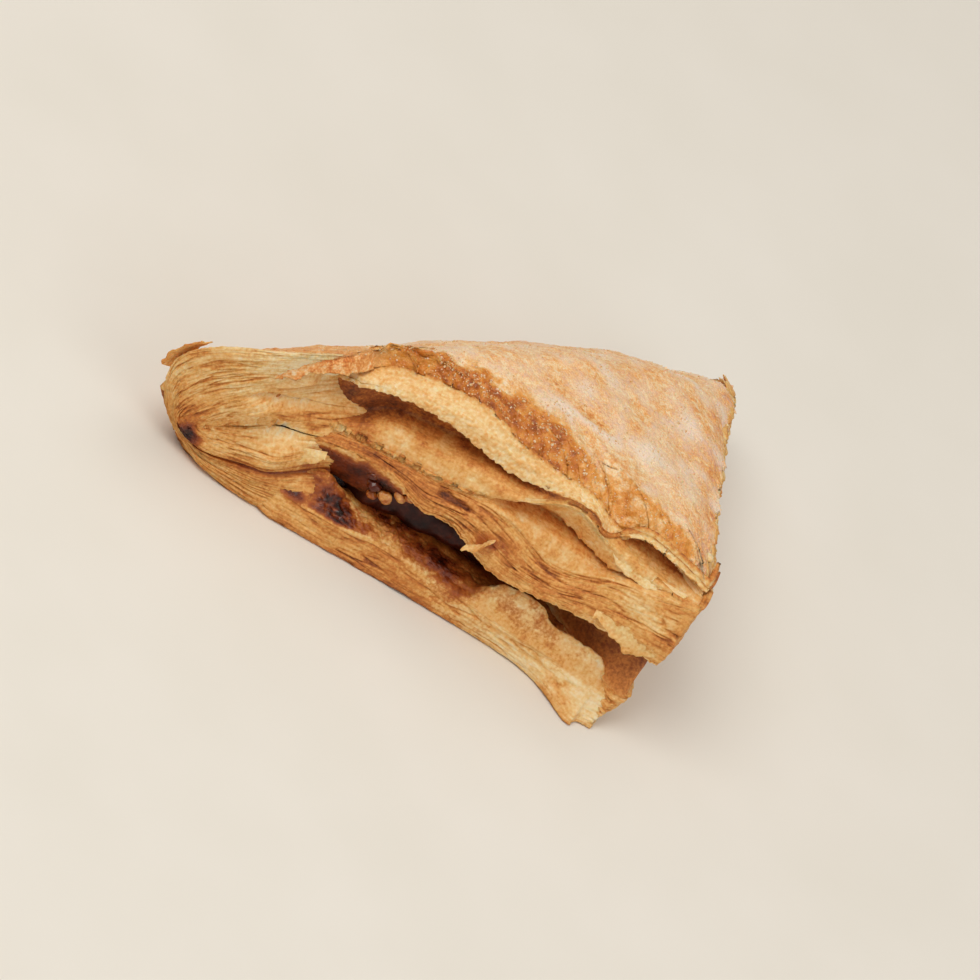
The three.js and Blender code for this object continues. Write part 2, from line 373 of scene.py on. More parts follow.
def smooth_line(line, count):
    """A smooth curve through a few places, as a list of points."""
    line = np.array(line, dtype=float)
    steps = np.linspace(0, len(line) - 1, count)
    i = np.clip(steps.astype(int), 0, len(line) - 2)
    f = (steps - i).reshape((-1,) + (1,) * (line.ndim - 1))
    before = line[np.maximum(i - 1, 0)]
    after = line[np.minimum(i + 2, len(line) - 1)]
    here, then = line[i], line[i + 1]
    return 0.5 * (2 * here + (then - before) * f
                  + (2 * before - 5 * here + 4 * then - after) * f ** 2
                  + (3 * here - before - 3 * then + after) * f ** 3)


def curve_at(stations, x):
    """A smooth curve through stations of (along, value), at places along the front."""
    fine = smooth_line(stations, 40 * len(stations))
    return np.interp(x, np.maximum.accumulate(fine[:, 0]), fine[:, 1])


def drape(lines, counts, softness=0.55):
    """A soft surface over lines of (along, depth, height, bake), with its level: line + share."""
    lines = np.asarray(lines, dtype=float)
    slope = np.zeros_like(lines)
    slope[1:-1] = 0.5 * softness * (lines[2:] - lines[:-2])
    rows, levels = [], []
    for k, count in enumerate(counts[:len(lines) - 1]):
        last = k == len(lines) - 2
        share = np.linspace(0, 1, count + last, endpoint=last)
        t = share[:, None, None]
        rows.append((2 * t ** 3 - 3 * t ** 2 + 1) * lines[k] + (t ** 3 - 2 * t ** 2 + t) * slope[k]
                    + (3 * t ** 2 - 2 * t ** 3) * lines[k + 1] + (t ** 3 - t ** 2) * slope[k + 1])
        levels.append(k + share)
    surface = np.concatenate(rows)
    return surface, np.concatenate(levels)[:, None] + 0 * surface[..., 0]


def strata(run, across, seed):
    """Leaves on edge that part and join, over a face in mm: how far out they are, and how brown, with
    painted shade in their gaps and cracks.
    """
    run, across = np.broadcast_arrays(run, across)

    def streaks(length, width, number):
        flow = np.stack((run / length, across / width, 0 * run), axis=-1)
        return grain(flow * MM, 1, seed + number, 3)

    broad = streaks(28, 4, 0)
    gaps = np.exp(-(streaks(20, 1.5, 1) / 0.1) ** 2) * ease(streaks(12, 3, 2), -0.4, 0.3)
    cracks = np.exp(-(streaks(9, 0.6, 3) / 0.12) ** 2)
    fibres = streaks(4, 0.3, 4)
    raised = 0.3 * broad + 0.12 * fibres - 0.5 * gaps - 0.18 * cracks
    # The gaps and cracks sink in and are painted browner as shade
    brown_and_gap_shade = 0.1 * broad + 0.09 * fibres + 0.26 * gaps + 0.09 * cracks
    return raised, brown_and_gap_shade


def vertices_of(mesh):
    places = np.empty(len(mesh.vertices) * 3, dtype=np.float32)
    mesh.vertices.foreach_get("co", places)
    return places.reshape(-1, 3)


def move_vertices(mesh, places):
    mesh.vertices.foreach_set("co", places.reshape(-1).astype(np.float32))


def set_field(mesh, field, values):
    """One value for each point, for the materials to read."""
    layer = mesh.attributes.new(field, "FLOAT", "POINT")
    layer.data.foreach_set("value", values.reshape(-1).astype(np.float32))


def grid_piece(name, points, fields, pattern):
    """A grid moved onto a surface, with its own point values and a map in real centimetres."""
    rows, columns = points.shape[:2]
    bpy.ops.object.select_all(action="DESELECT")
    bpy.ops.mesh.primitive_grid_add(x_subdivisions=columns - 1, y_subdivisions=rows - 1, size=1)
    piece = bpy.context.active_object
    piece.name = name
    mesh = piece.data
    move_vertices(mesh, points)
    for field, values in fields.items():
        set_field(mesh, field, np.broadcast_to(values, (rows, columns)))
    corner = np.empty(len(mesh.loops), dtype=np.int32)
    mesh.loops.foreach_get("vertex_index", corner)
    flat = np.stack(np.broadcast_arrays(*pattern), axis=-1).reshape(-1, 2)[corner]
    mesh.uv_layers[0].data.foreach_set("uv", flat.astype(np.float32).reshape(-1))
    mesh.update()
    return piece


def close_tube(piece):
    """Merges the seam of a grid that comes round to itself and fills its two ends."""
    bpy.ops.object.mode_set(mode="EDIT")
    bpy.ops.mesh.select_all(action="SELECT")
    bpy.ops.mesh.remove_doubles(threshold=MERGE)
    bpy.ops.mesh.select_all(action="DESELECT")
    bpy.ops.mesh.select_mode(type="EDGE")
    bpy.ops.mesh.select_non_manifold()
    bpy.ops.mesh.fill()
    bpy.ops.mesh.select_all(action="SELECT")
    bpy.ops.mesh.normals_make_consistent(inside=False)
    bpy.ops.mesh.select_mode(type="VERT")
    bpy.ops.object.mode_set(mode="OBJECT")
    bpy.ops.object.shade_smooth()


def give_thickness(piece, thickness):
    """Turns an open sheet into a closed leaf."""
    wall = piece.modifiers.new("Wall", "SOLIDIFY")
    wall.thickness = thickness
    wall.offset = 0
    bpy.ops.object.modifier_apply(modifier=wall.name)
    bpy.ops.object.shade_smooth()


def join_pieces(pieces, name):
    bpy.ops.object.select_all(action="DESELECT")
    for piece in pieces:
        piece.select_set(True)
    bpy.context.view_layer.objects.active = pieces[0]
    bpy.ops.object.join()
    whole = bpy.context.active_object
    whole.name = name
    return whole


def finish_piece(piece, material):
    piece.data.materials.clear()
    piece.data.materials.append(material)
    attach(piece, "root")


def face_piece(name, points, fields, raised, pattern):
    """An open face in mm with its relief, closed by a coarser back into one skin."""
    placed = own_place(points)
    normal = outward(placed, -1)
    steps = np.linalg.norm(np.gradient(points, axis=0), axis=-1)
    front = placed + normal * (raised * ease(steps, *CROWDED) * MM)[..., None]
    back = placed - normal * bpy.context.scene.turnover_leaves.skin
    for side in (front, back):
        side[..., 2] = np.maximum(side[..., 2], LOWEST)

    def whole(front_part, back_part):
        return np.concatenate([front_part, back_part[::-FACE_BACK_STEP], front_part[:1]])

    fields = {field: whole(values, values) for field, values in fields.items()}
    pattern = [whole(values, values) for values in np.broadcast_arrays(*pattern)]
    piece = grid_piece(name, whole(front, back), {**fields, "fibre": 0.5}, pattern)
    close_tube(piece)
    finish_piece(piece, finish_of(baked_leaves))
    return piece


def linear(colour):
    """An sRGB hex colour as linear values."""
    parts = [int(colour[i:i + 2], 16) / 255 for i in (1, 3, 5)]
    return [p / 12.92 if p <= 0.04045 else ((p + 0.055) / 1.055) ** 2.4 for p in parts] + [1]


def add_node(tree, kind, settings=None, stops=(), **inputs):
    """One node: its own settings, a ramp's colour stops, and values or links for its inputs.

    An input goes by its name, or by its place: i0 is the first.
    """
    node = tree.nodes.new(kind)
    for i, (position, colour) in enumerate(stops):
        if i >= len(node.color_ramp.elements):
            node.color_ramp.elements.new(position)
        node.color_ramp.elements[i].position = position
        node.color_ramp.elements[i].color = linear(colour)
    for name, value in (settings or {}).items():
        setattr(node, name, value)
    for name, value in inputs.items():
        socket = node.inputs[int(name[1:])] if name[1:].isdigit() else node.inputs[name.replace("_", " ")]
        if isinstance(value, bpy.types.NodeSocket):
            tree.links.new(value, socket)
        else:
            socket.default_value = value
    return node


def new_material(name, **constants):
    """A material, its tree and its shader, with constants on the shader's own sockets."""
    material = bpy.data.materials.new(name)
    material.use_nodes = True
    tree = material.node_tree
    tree.nodes.clear()
    output = tree.nodes.new("ShaderNodeOutputMaterial")
    shader = tree.nodes.new("ShaderNodeBsdfPrincipled")
    tree.links.new(shader.outputs["BSDF"], output.inputs["Surface"])
    for socket, value in constants.items():
        shader.inputs[socket.replace("_", " ")].default_value = value
    return material, tree, shader


def feed(tree, shader, **outputs):
    """Links outputs to the shader's sockets."""
    for socket, output in outputs.items():
        tree.links.new(output, shader.inputs[socket.replace("_", " ")])


def per_mm(size):
    """Texture scale that gives a pattern of this size in millimetres on object coordinates."""
    return 1 / (size * MM)


def baked_leaves():
    """Baked puff pastry, laminated: dry fibrous leaves, cream inside and brown at their edges."""
    material, tree, shader = new_material(
        "laminated puff pastry", Subsurface_Weight=0.25, Subsurface_Radius=CRUMB_GLOW,
        Subsurface_Scale=1.2 * MM, IOR=1.45)
    place_out = add_node(tree, "ShaderNodeTexCoord").outputs["Object"]
    map_out = add_node(tree, "ShaderNodeTexCoord").outputs["UV"]
    bake_and_shade, fibre, jam_and_shade = (
        add_node(tree, "ShaderNodeAttribute", {"attribute_name": name}).outputs["Fac"]
        for name in ("bake_and_shade", "fibre", "jam_and_shade"))
    # Uneven browning, in patches of about 5 mm and specks of 0.7 mm
    patches, specks = (
        add_node(tree, "ShaderNodeTexNoise", Vector=place_out, Scale=per_mm(size), Detail=4.0).outputs[0]
        for size in (5, 0.7))
    # Fibres run along the leaves: 5 mm long and 0.3 mm apart
    fibre_map = add_node(tree, "ShaderNodeMapping", Vector=map_out, Scale=(2, 33, 1))
    fibres = add_node(tree, "ShaderNodeTexNoise", Vector=fibre_map.outputs[0], Scale=1.0, Detail=3.0)
    streaks = add_node(tree, "ShaderNodeMath", TIMES, i0=fibres.outputs[0], i1=fibre).outputs[0]
    shade = bake_and_shade
    for pattern, weight in ((patches, 0.4), (specks, 0.5), (streaks, 0.3), (fibre, -0.15)):
        shade = add_node(tree, "ShaderNodeMath", TIMES_PLUS, i0=pattern, i1=weight, i2=shade).outputs[0]
    shade = add_node(tree, "ShaderNodeMath", MINUS, i0=shade, i1=0.45).outputs[0]
    dough = add_node(tree, "ShaderNodeValToRGB", i0=shade, stops=(
        (0.0, "#fce6bf"), (0.2, "#f5cf92"), (0.4, "#e8ac5f"), (0.58, "#d08239"), (0.78, "#964f1f"),
        (1.0, "#3c150a")))
    # Where syrup has soaked in the dough is orange-brown, and maroon where it lies thick; the same colours
    # darken the far end of the mouth as painted shade
    level = jam_and_shade
    for pattern, weight in ((patches, 0.7), (specks, 0.4)):
        level = add_node(tree, "ShaderNodeMath", TIMES_PLUS, i0=pattern, i1=weight, i2=level).outputs[0]
    level = add_node(tree, "ShaderNodeMath", MINUS, i0=level, i1=0.55).outputs[0]
    syrup = add_node(tree, "ShaderNodeValToRGB", i0=level, stops=(
        (0.15, "#cf7f33"), (0.4, "#a8561f"), (0.62, "#7a3417"), (0.85, "#461507"), (1.0, "#240a04")))
    wet = add_node(tree, "ShaderNodeMapRange", i0=level, i1=0.1, i2=0.3)
    colour = add_node(tree, "ShaderNodeMix", COLOURS,
                      i0=wet.outputs[0], i6=dough.outputs[0], i7=syrup.outputs[0])
    dry = add_node(tree, "ShaderNodeMapRange", i0=level, i1=0.15, i2=0.6, i3=0.6, i4=0.26)
    relief = add_node(tree, "ShaderNodeMath", PLUS, i0=specks, i1=streaks)
    bump = add_node(tree, "ShaderNodeBump", Height=relief.outputs[0], Strength=0.6, Distance=0.35 * MM)
    feed(tree, shader, Base_Color=colour.outputs[2], Roughness=dry.outputs[0], Normal=bump.outputs[0])
    return material


def sugared_crust():
    """Top crust: blond and frosted with sugar, which has melted to clumps of caramel at the rim."""
    material, tree, shader = new_material(
        "sugared baked crust", Subsurface_Weight=0.2, Subsurface_Radius=CRUMB_GLOW,
        Subsurface_Scale=1.0 * MM)
    place_out = add_node(tree, "ShaderNodeTexCoord").outputs["Object"]
    bake_and_shade, sugar, caramel = (
        add_node(tree, "ShaderNodeAttribute", {"attribute_name": name}).outputs["Fac"]
        for name in ("bake_and_shade", "sugar", "caramel"))
    # Clouds of about 9 mm, mottling of 1.6 mm and sugar grit of 0.5 mm
    clouds, mottle = (
        add_node(tree, "ShaderNodeTexNoise", Vector=place_out, Scale=per_mm(size), Detail=5.0).outputs[0]
        for size in (9, 1.6))
    grit = add_node(tree, "ShaderNodeTexVoronoi", Vector=place_out, Scale=per_mm(0.5)).outputs["Distance"]
    shade = bake_and_shade
    for pattern, weight in ((clouds, 0.35), (mottle, 1.1), (grit, 0.35)):
        shade = add_node(tree, "ShaderNodeMath", TIMES_PLUS, i0=pattern, i1=weight, i2=shade).outputs[0]
    shade = add_node(tree, "ShaderNodeMath", MINUS, i0=shade, i1=0.85)
    crust = add_node(tree, "ShaderNodeValToRGB", i0=shade.outputs[0], stops=(
        (0.0, "#fde3c0"), (0.2, "#f8cd98"), (0.4, "#efab62"), (0.6, "#d87f33"), (0.8, "#ac5018"),
        (1.0, "#5f260c")))
    frost = add_node(tree, "ShaderNodeMath", TIMES_PLUS, i0=mottle, i1=1.2, i2=sugar)
    frosted = add_node(tree, "ShaderNodeMapRange", i0=frost.outputs[0], i1=0.75, i2=1.3, i4=0.8)
    blond = add_node(tree, "ShaderNodeMix", COLOURS,
                     i0=frosted.outputs[0], i6=crust.outputs[0], i7=linear("#f6e3d0"))
    # Melted sugar breaks up into clumps towards the blond crust
    melt = add_node(tree, "ShaderNodeMath", TIMES_PLUS, i0=mottle, i1=0.9, i2=caramel).outputs[0]
    melted = add_node(tree, "ShaderNodeMapRange", i0=melt, i1=0.6, i2=1.0).outputs[0]
    depth = add_node(tree, "ShaderNodeMath", TIMES_PLUS, i0=melt, i1=0.7, i2=-0.4)
    amber = add_node(tree, "ShaderNodeValToRGB", i0=depth.outputs[0], stops=(
        (0.1, "#f4c078"), (0.3, "#e79d44"), (0.5, "#cd7724"), (0.68, "#a05014"), (1.0, "#54200a")))
    colour = add_node(tree, "ShaderNodeMix", COLOURS, i0=melted, i6=blond.outputs[2], i7=amber.outputs[0])
    gloss = add_node(tree, "ShaderNodeMapRange", i0=melted, i3=0.5, i4=0.3)
    relief = add_node(tree, "ShaderNodeMath", TIMES_PLUS, i0=grit, i1=0.7, i2=mottle)
    bump = add_node(tree, "ShaderNodeBump", Height=relief.outputs[0], Strength=0.7, Distance=0.4 * MM)
    feed(tree, shader, Base_Color=colour.outputs[2], Roughness=gloss.outputs[0], Normal=bump.outputs[0])
    return material


def cooked_fruit():
    """Cooked fruit and syrup: dark, red-brown, wet and lumpy."""
    material, tree, shader = new_material(
        "cooked fruit filling", Roughness=0.38, Specular_IOR_Level=0.35)
    place_out = add_node(tree, "ShaderNodeTexCoord").outputs["Object"]
    lumps = add_node(tree, "ShaderNodeTexNoise", Vector=place_out, Scale=per_mm(3), Detail=4.0).outputs[0]
    colour = add_node(tree, "ShaderNodeValToRGB", i0=lumps, stops=(
        (0.3, "#240903"), (0.55, "#461407"), (0.75, "#6b2a10")))
    bump = add_node(tree, "ShaderNodeBump", Height=lumps, Strength=0.6, Distance=0.8 * MM)
    feed(tree, shader, Base_Color=colour.outputs[0], Normal=bump.outputs[0])
    return material


def syrup_drops():
    """Lumps of fruit and set syrup at the mouth: amber, waxy and shiny."""
    material, tree, shader = new_material(
        "set syrup", Roughness=0.22, Subsurface_Weight=0.4, Subsurface_Radius=CRUMB_GLOW,
        Subsurface_Scale=1.5 * MM)
    place_out = add_node(tree, "ShaderNodeTexCoord").outputs["Object"]
    bake_and_shade = add_node(tree, "ShaderNodeAttribute", {"attribute_name": "bake_and_shade"}).outputs["Fac"]
    clouds = add_node(tree, "ShaderNodeTexNoise", Vector=place_out, Scale=per_mm(1.5), Detail=3.0)
    shade = add_node(tree, "ShaderNodeMath", PLUS, i0=clouds.outputs[0], i1=bake_and_shade)
    colour = add_node(tree, "ShaderNodeValToRGB", i0=shade.outputs[0], stops=(
        (0.3, "#e8b46c"), (0.6, "#b06022"), (0.9, "#5a1f0c")))
    feed(tree, shader, Base_Color=colour.outputs[0])
    return material


def sugar_crystals():
    """Sugar crystals half melted into the crust: warm white with soft glints."""
    material, tree, shader = new_material(
        "baked sugar crystals", Roughness=0.28, IOR=1.54, Subsurface_Weight=0.4,
        Subsurface_Scale=0.4 * MM)
    place_out = add_node(tree, "ShaderNodeTexCoord").outputs["Object"]
    tints = add_node(tree, "ShaderNodeTexNoise", Vector=place_out, Scale=per_mm(3), Detail=2.0)
    colour = add_node(tree, "ShaderNodeValToRGB", i0=tints.outputs[0], stops=(
        (0.35, "#f6dfbe"), (0.65, "#dba868")))
    feed(tree, shader, Base_Color=colour.outputs[0])
    return material


def floor_paper():
    """Matt pale studio floor."""
    material, tree, shader = new_material("pale studio floor", Roughness=0.9)
    place_out = add_node(tree, "ShaderNodeTexCoord").outputs["Object"]
    tints = add_node(tree, "ShaderNodeTexNoise", Vector=place_out, Scale=per_mm(40), Detail=2.0)
    colour = add_node(tree, "ShaderNodeValToRGB", i0=tints.outputs[0], stops=(
        (0.3, "#e9e4da"), (0.7, "#ece7de")))
    feed(tree, shader, Base_Color=colour.outputs[0])
    return material


FINISHES = {}


def finish_of(make):
    """The material that a function makes, made once."""
    if make.__name__ not in FINISHES:
        FINISHES[make.__name__] = make()
    return FINISHES[make.__name__]


def front_columns():
    """Places along the open front, from behind the rolled leaves to the corner."""
    width = bpy.context.scene.turnover_leaves.column / MM
    return np.arange(FRONT_START, FRONT_END, width)


def front_surface(lines, x):
    """A draped face over (depth, height, bake, grid rows) lines, turned round the corner."""
    behind = FRONT_DIP * (1 - ease(x, *FRONT_DIP_STRETCH))
    corner = np.linspace(0, 1, CORNER_COLUMNS + 1)[1:]
    whole = []
    for depth, height, bake_and_shade, _ in lines:
        depth, height, bake_and_shade = (np.broadcast_to(value, x.shape) for value in (depth, height, bake_and_shade))
        out = 2.4 * ease(height, 2, 14) * (1 - 0.5 * ease(height, 33, 45)) * ease(x, 96, x[-1])
        line = np.stack((x + out, depth + behind, height, bake_and_shade), axis=-1)
        turn = np.repeat(line[-1:], len(corner), axis=0)
        turn[:, 0] += CORNER_OUT * np.sin(corner * math.pi / 2)
        turn[:, 1] += CORNER_BACK * corner ** 1.5
        whole.append(np.concatenate([line, turn]))
    return drape(whole, [line[3] for line in lines])


def cave_line(x):
    """Depth and height of the mouth's far end."""
    return curve_at(CAVE_BACK, x), mix(8.5, curve_at(MOUTH_EDGE, x) - curve_at(ROOF_DROP, x), 0.4)


def cave_painted_shade(x):
    """Painted shade at the mouth's far end: dark deep inside, fading to golden where it opens at the
    corner.
    """
    return 1 - 0.5 * ease(x, 102, 111)


class MESH_OT_turnover_lower_face(bpy.types.Operator):
    """Adds the cut base and the syrup-soaked floor of the mouth"""

    bl_idname = "mesh.turnover_lower_face"
    bl_label = "Base and floor of the mouth"

    def execute(self, context):
        x = front_columns()
        base = curve_at(BASE_DEPTH, x)
        rim = curve_at(FLOOR_RIM, x)
        cave, cave_height = cave_line(x)
        back = np.minimum(12.8, cave - 3)
        burnt = spot((x,), (63,), (9,)) + spot((x,), (104,), (7,))
        # Rows from the base over the floor to the mouth's far end; the floor is painted darker towards the
        # back as shade
        points, level = front_surface((
            (base + 9, 0.2, 0.6, 4),
            (base, 0.15, 0.52 + 0.3 * burnt, 7),
            (mix(base, rim, 0.15) - 0.5, 1.4, 0.36 + 0.16 * burnt, 34),
            (rim, 6.3 + 0.7 * ease(x, 20, 50), 0.36, 12),
            (np.minimum(rim + 2.4, back - 3), 8, 0.42, 22),
            (np.minimum(7.2, back - 2), 8.7, 0.46, 26),
            (back, 8.3, 0.6, 14),
            (mix(back, cave, 0.6), 8.3, 0.9 * cave_painted_shade(x), 8),
            (cave, cave_height, cave_painted_shade(x), 1),
        ), x)
        along_x, depth, height = np.moveaxis(points[..., :3], -1, 0)
        floor = ease(level, 3, 3.8) * (1 - ease(level, 6.6, 7.6))
        crest = curve_at(CREST, along_x) * spot((depth,), (7,), (2.1,))
        wall = 4.6 * spot((along_x, depth), (31, 6.5), (7.5, 3.2))
        points[..., 2] += floor * (crest + wall)
        cut_face = ease(level, 0.9, 1.1) * (1 - ease(level, 2.8, 3.1))
        out, brown_and_gap_shade = strata(along_x, np.clip(level - 1, 0, 2) * 3.3, 30)
        place_mm = points[..., :3] * MM
        lumps = grain(place_mm, 2.8, 31, 3)
        bubbles = grain(place_mm, 0.9, 32, 2)
        folds = grain(place_mm * np.array((1, 1.8, 1)), 1.6, 33, 3)
        wet_end = spot((along_x, depth), (38, 3), (8, 4))
        tan = spot((along_x, depth), (50, 7), (8, 6))
        raised = 0.9 * cut_face * out + 0.12 * bubbles
        raised = raised + floor * (0.45 * lumps + 0.5 * folds * wet_end + bubbles * (0.1 + 0.3 * tan))
        bake_and_shade = points[..., 3] + cut_face * brown_and_gap_shade
        bake_and_shade = bake_and_shade + floor * (0.12 * lumps + 0.12 * bubbles - 0.15 * tan * np.clip(bubbles, 0, 1))
        bake_and_shade = bake_and_shade - 0.08 * floor * ease(along_x, 94, 104) - 0.12 * floor * ease(crest, 1, 4)
        bake_and_shade = bake_and_shade + cut_face * (0.1 - 0.32 * ease(along_x, 46, 98))
        rough = 0.85 + 0.5 * lumps
        stains_and_shade = (
            # The wet folds at the left, a drip on the rim, patches on the floor, and at the far end painted
            # shade in dark syrup colour
            1.05 * wet_end * (0.85 + 0.5 * folds) * ease(level, 3.0, 3.5),
            0.95 * spot((along_x, depth, height), (27.5, 1.4, 7.4), (3.2, 1.8, 1.6)),
            0.8 * spot((along_x, depth), (65, 8.5), (11, 5)) * rough,
            0.28 * spot((along_x, depth), (86, 5), (12, 2.4)) * rough * floor,
            0.7 * spot((along_x, depth), (52, 11), (13, 4)) * rough,
            ease(level, 5.8, 6.8) * (1 - ease(along_x, 78, 98)),
        )
        fields = {"bake_and_shade": bake_and_shade, "jam_and_shade": np.max(stains_and_shade, axis=0)}
        face_piece("base_and_floor", points[..., :3], fields, raised, (along_x * 0.1, level * 0.4))
        return {"FINISHED"}


class MESH_OT_turnover_upper_face(bpy.types.Operator):
    """Adds the mouth's roof, the bundle of leaves, the pockets and the lip under the crust"""

    bl_idname = "mesh.turnover_upper_face"
    bl_label = "Bundle, pockets and lip"

    def execute(self, context):
        x = front_columns()
        cave, cave_height = cave_line(x)
        mouth = curve_at(MOUTH_EDGE, x)
        bundle = curve_at(BUNDLE_EDGE, x)
        hem = curve_at(LEAF_HEM, x)
        ridge = curve_at(LEAF_RIDGE, x)
        lip = curve_at(LIP_EDGE, x)
        top = curve_at(LIP_TOP, x)
        roof = mouth - curve_at(ROOF_DROP, x)
        mouth_depth = 5.4 - 1.3 * ease(x, 42, 52)
        low = ease(x, 62, 70) * (1 - ease(x, 97, 107))
        low_floor = mix(bundle + 0.4, np.maximum(bundle, 30), low)
        high = ease(x, 24, 38) * (1 - ease(x, 56, 72))
        high_floor = ridge + 0.3 + 3.6 * high
        high_depth = curve_at(RIDGE_DEPTH, x) + 0.5 + 1.8 * high + 3.2 * ease(x, 90, 97)
        high_back = np.maximum(curve_at(HIGH_POCKET_BACK, x), high_depth + 0.4)
        lip_depth = curve_at(LIP_DEPTH, x)
        top_depth = curve_at(TOP_DEPTH, x)
        # Rows from the mouth's far end up to the crust; the roof's underside, the backs of both pockets,
        # the lip's underside and its tuck under the crust are painted darker as shade
        points, level = front_surface((
            (cave, cave_height, cave_painted_shade(x), 4),
            (mix(8, cave, 0.6), roof, 0.95 * cave_painted_shade(x), 10),
            (mouth_depth + 2.7, roof + 0.3, 0.72, 16),
            (mouth_depth, mouth, 0.36, 30),
            (mouth_depth + 0.9, mix(mouth, bundle, 0.45), 0.44, 34),
            (8 - 2 * (1 - ease(x, 14, 28)), bundle, 0.34, 10),
            (mix(8.4, 11, low), low_floor, 0.26, 16),
            (np.maximum(curve_at(LOW_POCKET_BACK, x), 8.8), low_floor + 0.7, 0.46, 10),
            (curve_at(HEM_DEPTH, x), hem, 0.28, 22),
            (curve_at(RIDGE_DEPTH, x), ridge, 0.25, 14),
            (high_depth, high_floor, 0.34, 14),
            (high_back, high_floor + 1, 0.62, 10),
            (mix(lip_depth, high_back, 0.6), lip - 0.4, 0.66, 8),
            (lip_depth, lip, 0.26, 14),
            (lip_depth + 1.3, mix(lip, top, 0.6), 0.25, 16),
            (top_depth, top, 0.32, 8),
            (top_depth + 0.9, top + 0.5, 0.6, 1),
        ), x)
        along_x, height = points[..., 0], points[..., 2]
        # The mouth's edge, the hem and the lip are torn
        ragged = wobble(along_x, 41, ((0.8, 0.06), (1.9, 0.12), (4.5, 0.2)))
        for edge in (3, 8, 13):
            points[..., 2] += ragged * np.exp(-((level - edge) / 0.35) ** 2)
        place_mm = points[..., :3] * MM
        bundle_face = ease(level, 2.9, 3.1) * (1 - ease(level, 4.9, 5.1))
        pockets = ease(level, 5, 5.3) * (1 - ease(level, 12.6, 13))
        lip_face = ease(level, 12.9, 13.1)
        out, brown_and_gap_shade = strata(along_x, np.clip(level - 3, 0, 2) * 4.5, 40)
        smooth = spot((along_x, height), (105, 23), (9, 3.2))
        slit = spot((height - (along_x - 53) * 0.12,), (26,), (0.5,))
        slit = slit * ease(along_x, 52, 55) * (1 - ease(along_x, 60, 63)) * bundle_face
        folds = grain(place_mm * np.array((1, 0.35, 0.35)), 2.2, 43, 3)
        wrinkles = grain(place_mm * np.array((0.35, 1, 1)), 1.5, 44, 3)
        bubbles = grain(place_mm, 0.8, 45, 2)
        waves = grain(place_mm, 7, 46, 2)
        raised = bundle_face * ((1 - 0.85 * smooth) * out + 0.6 * waves) - 1.5 * slit
        raised = raised + pockets * (0.3 * folds + 0.22 * wrinkles) + lip_face * 0.3 * wrinkles
        raised = raised + bubbles * (0.1 + 0.14 * lip_face)
        # The slit's groove is painted darker as shade
        bake_and_shade = points[..., 3] + bundle_face * (1 - 0.8 * smooth) * brown_and_gap_shade + 0.4 * slit
        bake_and_shade = bake_and_shade + pockets * (0.13 * folds + 0.1 * wrinkles + 0.06 * waves)
        bake_and_shade = bake_and_shade + lip_face * (0.1 * wrinkles + 0.12 * bubbles) + 0.07 * bubbles
        bake_and_shade = bake_and_shade + 0.2 * spot((along_x, height), (31, 27), (4, 4)) * pockets
        bake_and_shade = bake_and_shade - 0.22 * spot((along_x, height), (107, 30.5), (7, 2.4)) - 0.14 * smooth
        bake_and_shade = bake_and_shade + bundle_face * (0.16 - 0.1 * ease(along_x, 44, 60)) + 0.08 * pockets
        rough = 1 + 0.6 * grain(place_mm, 2.5, 47, 2)
        stains_and_shade = (
            # A patch on the bundle, the roof at its left end, and painted shade in dark syrup colour at the
            # far end of the mouth
            0.36 * spot((along_x, height), (70, 23), (6, 2.4)) * bundle_face * rough,
            0.95 * (1 - ease(level, 2.5, 3.0)) * (1 - ease(along_x, 46, 52)) * (0.9 + 0.4 * waves),
            ease(1.6 - level, 0, 0.6) * (1 - ease(along_x, 78, 96)),
        )
        fields = {"bake_and_shade": bake_and_shade, "jam_and_shade": np.max(stains_and_shade, axis=0)}
        face_piece("bundle_and_pockets", points[..., :3], fields, raised, (along_x * 0.1, level * 0.4))
        return {"FINISHED"}


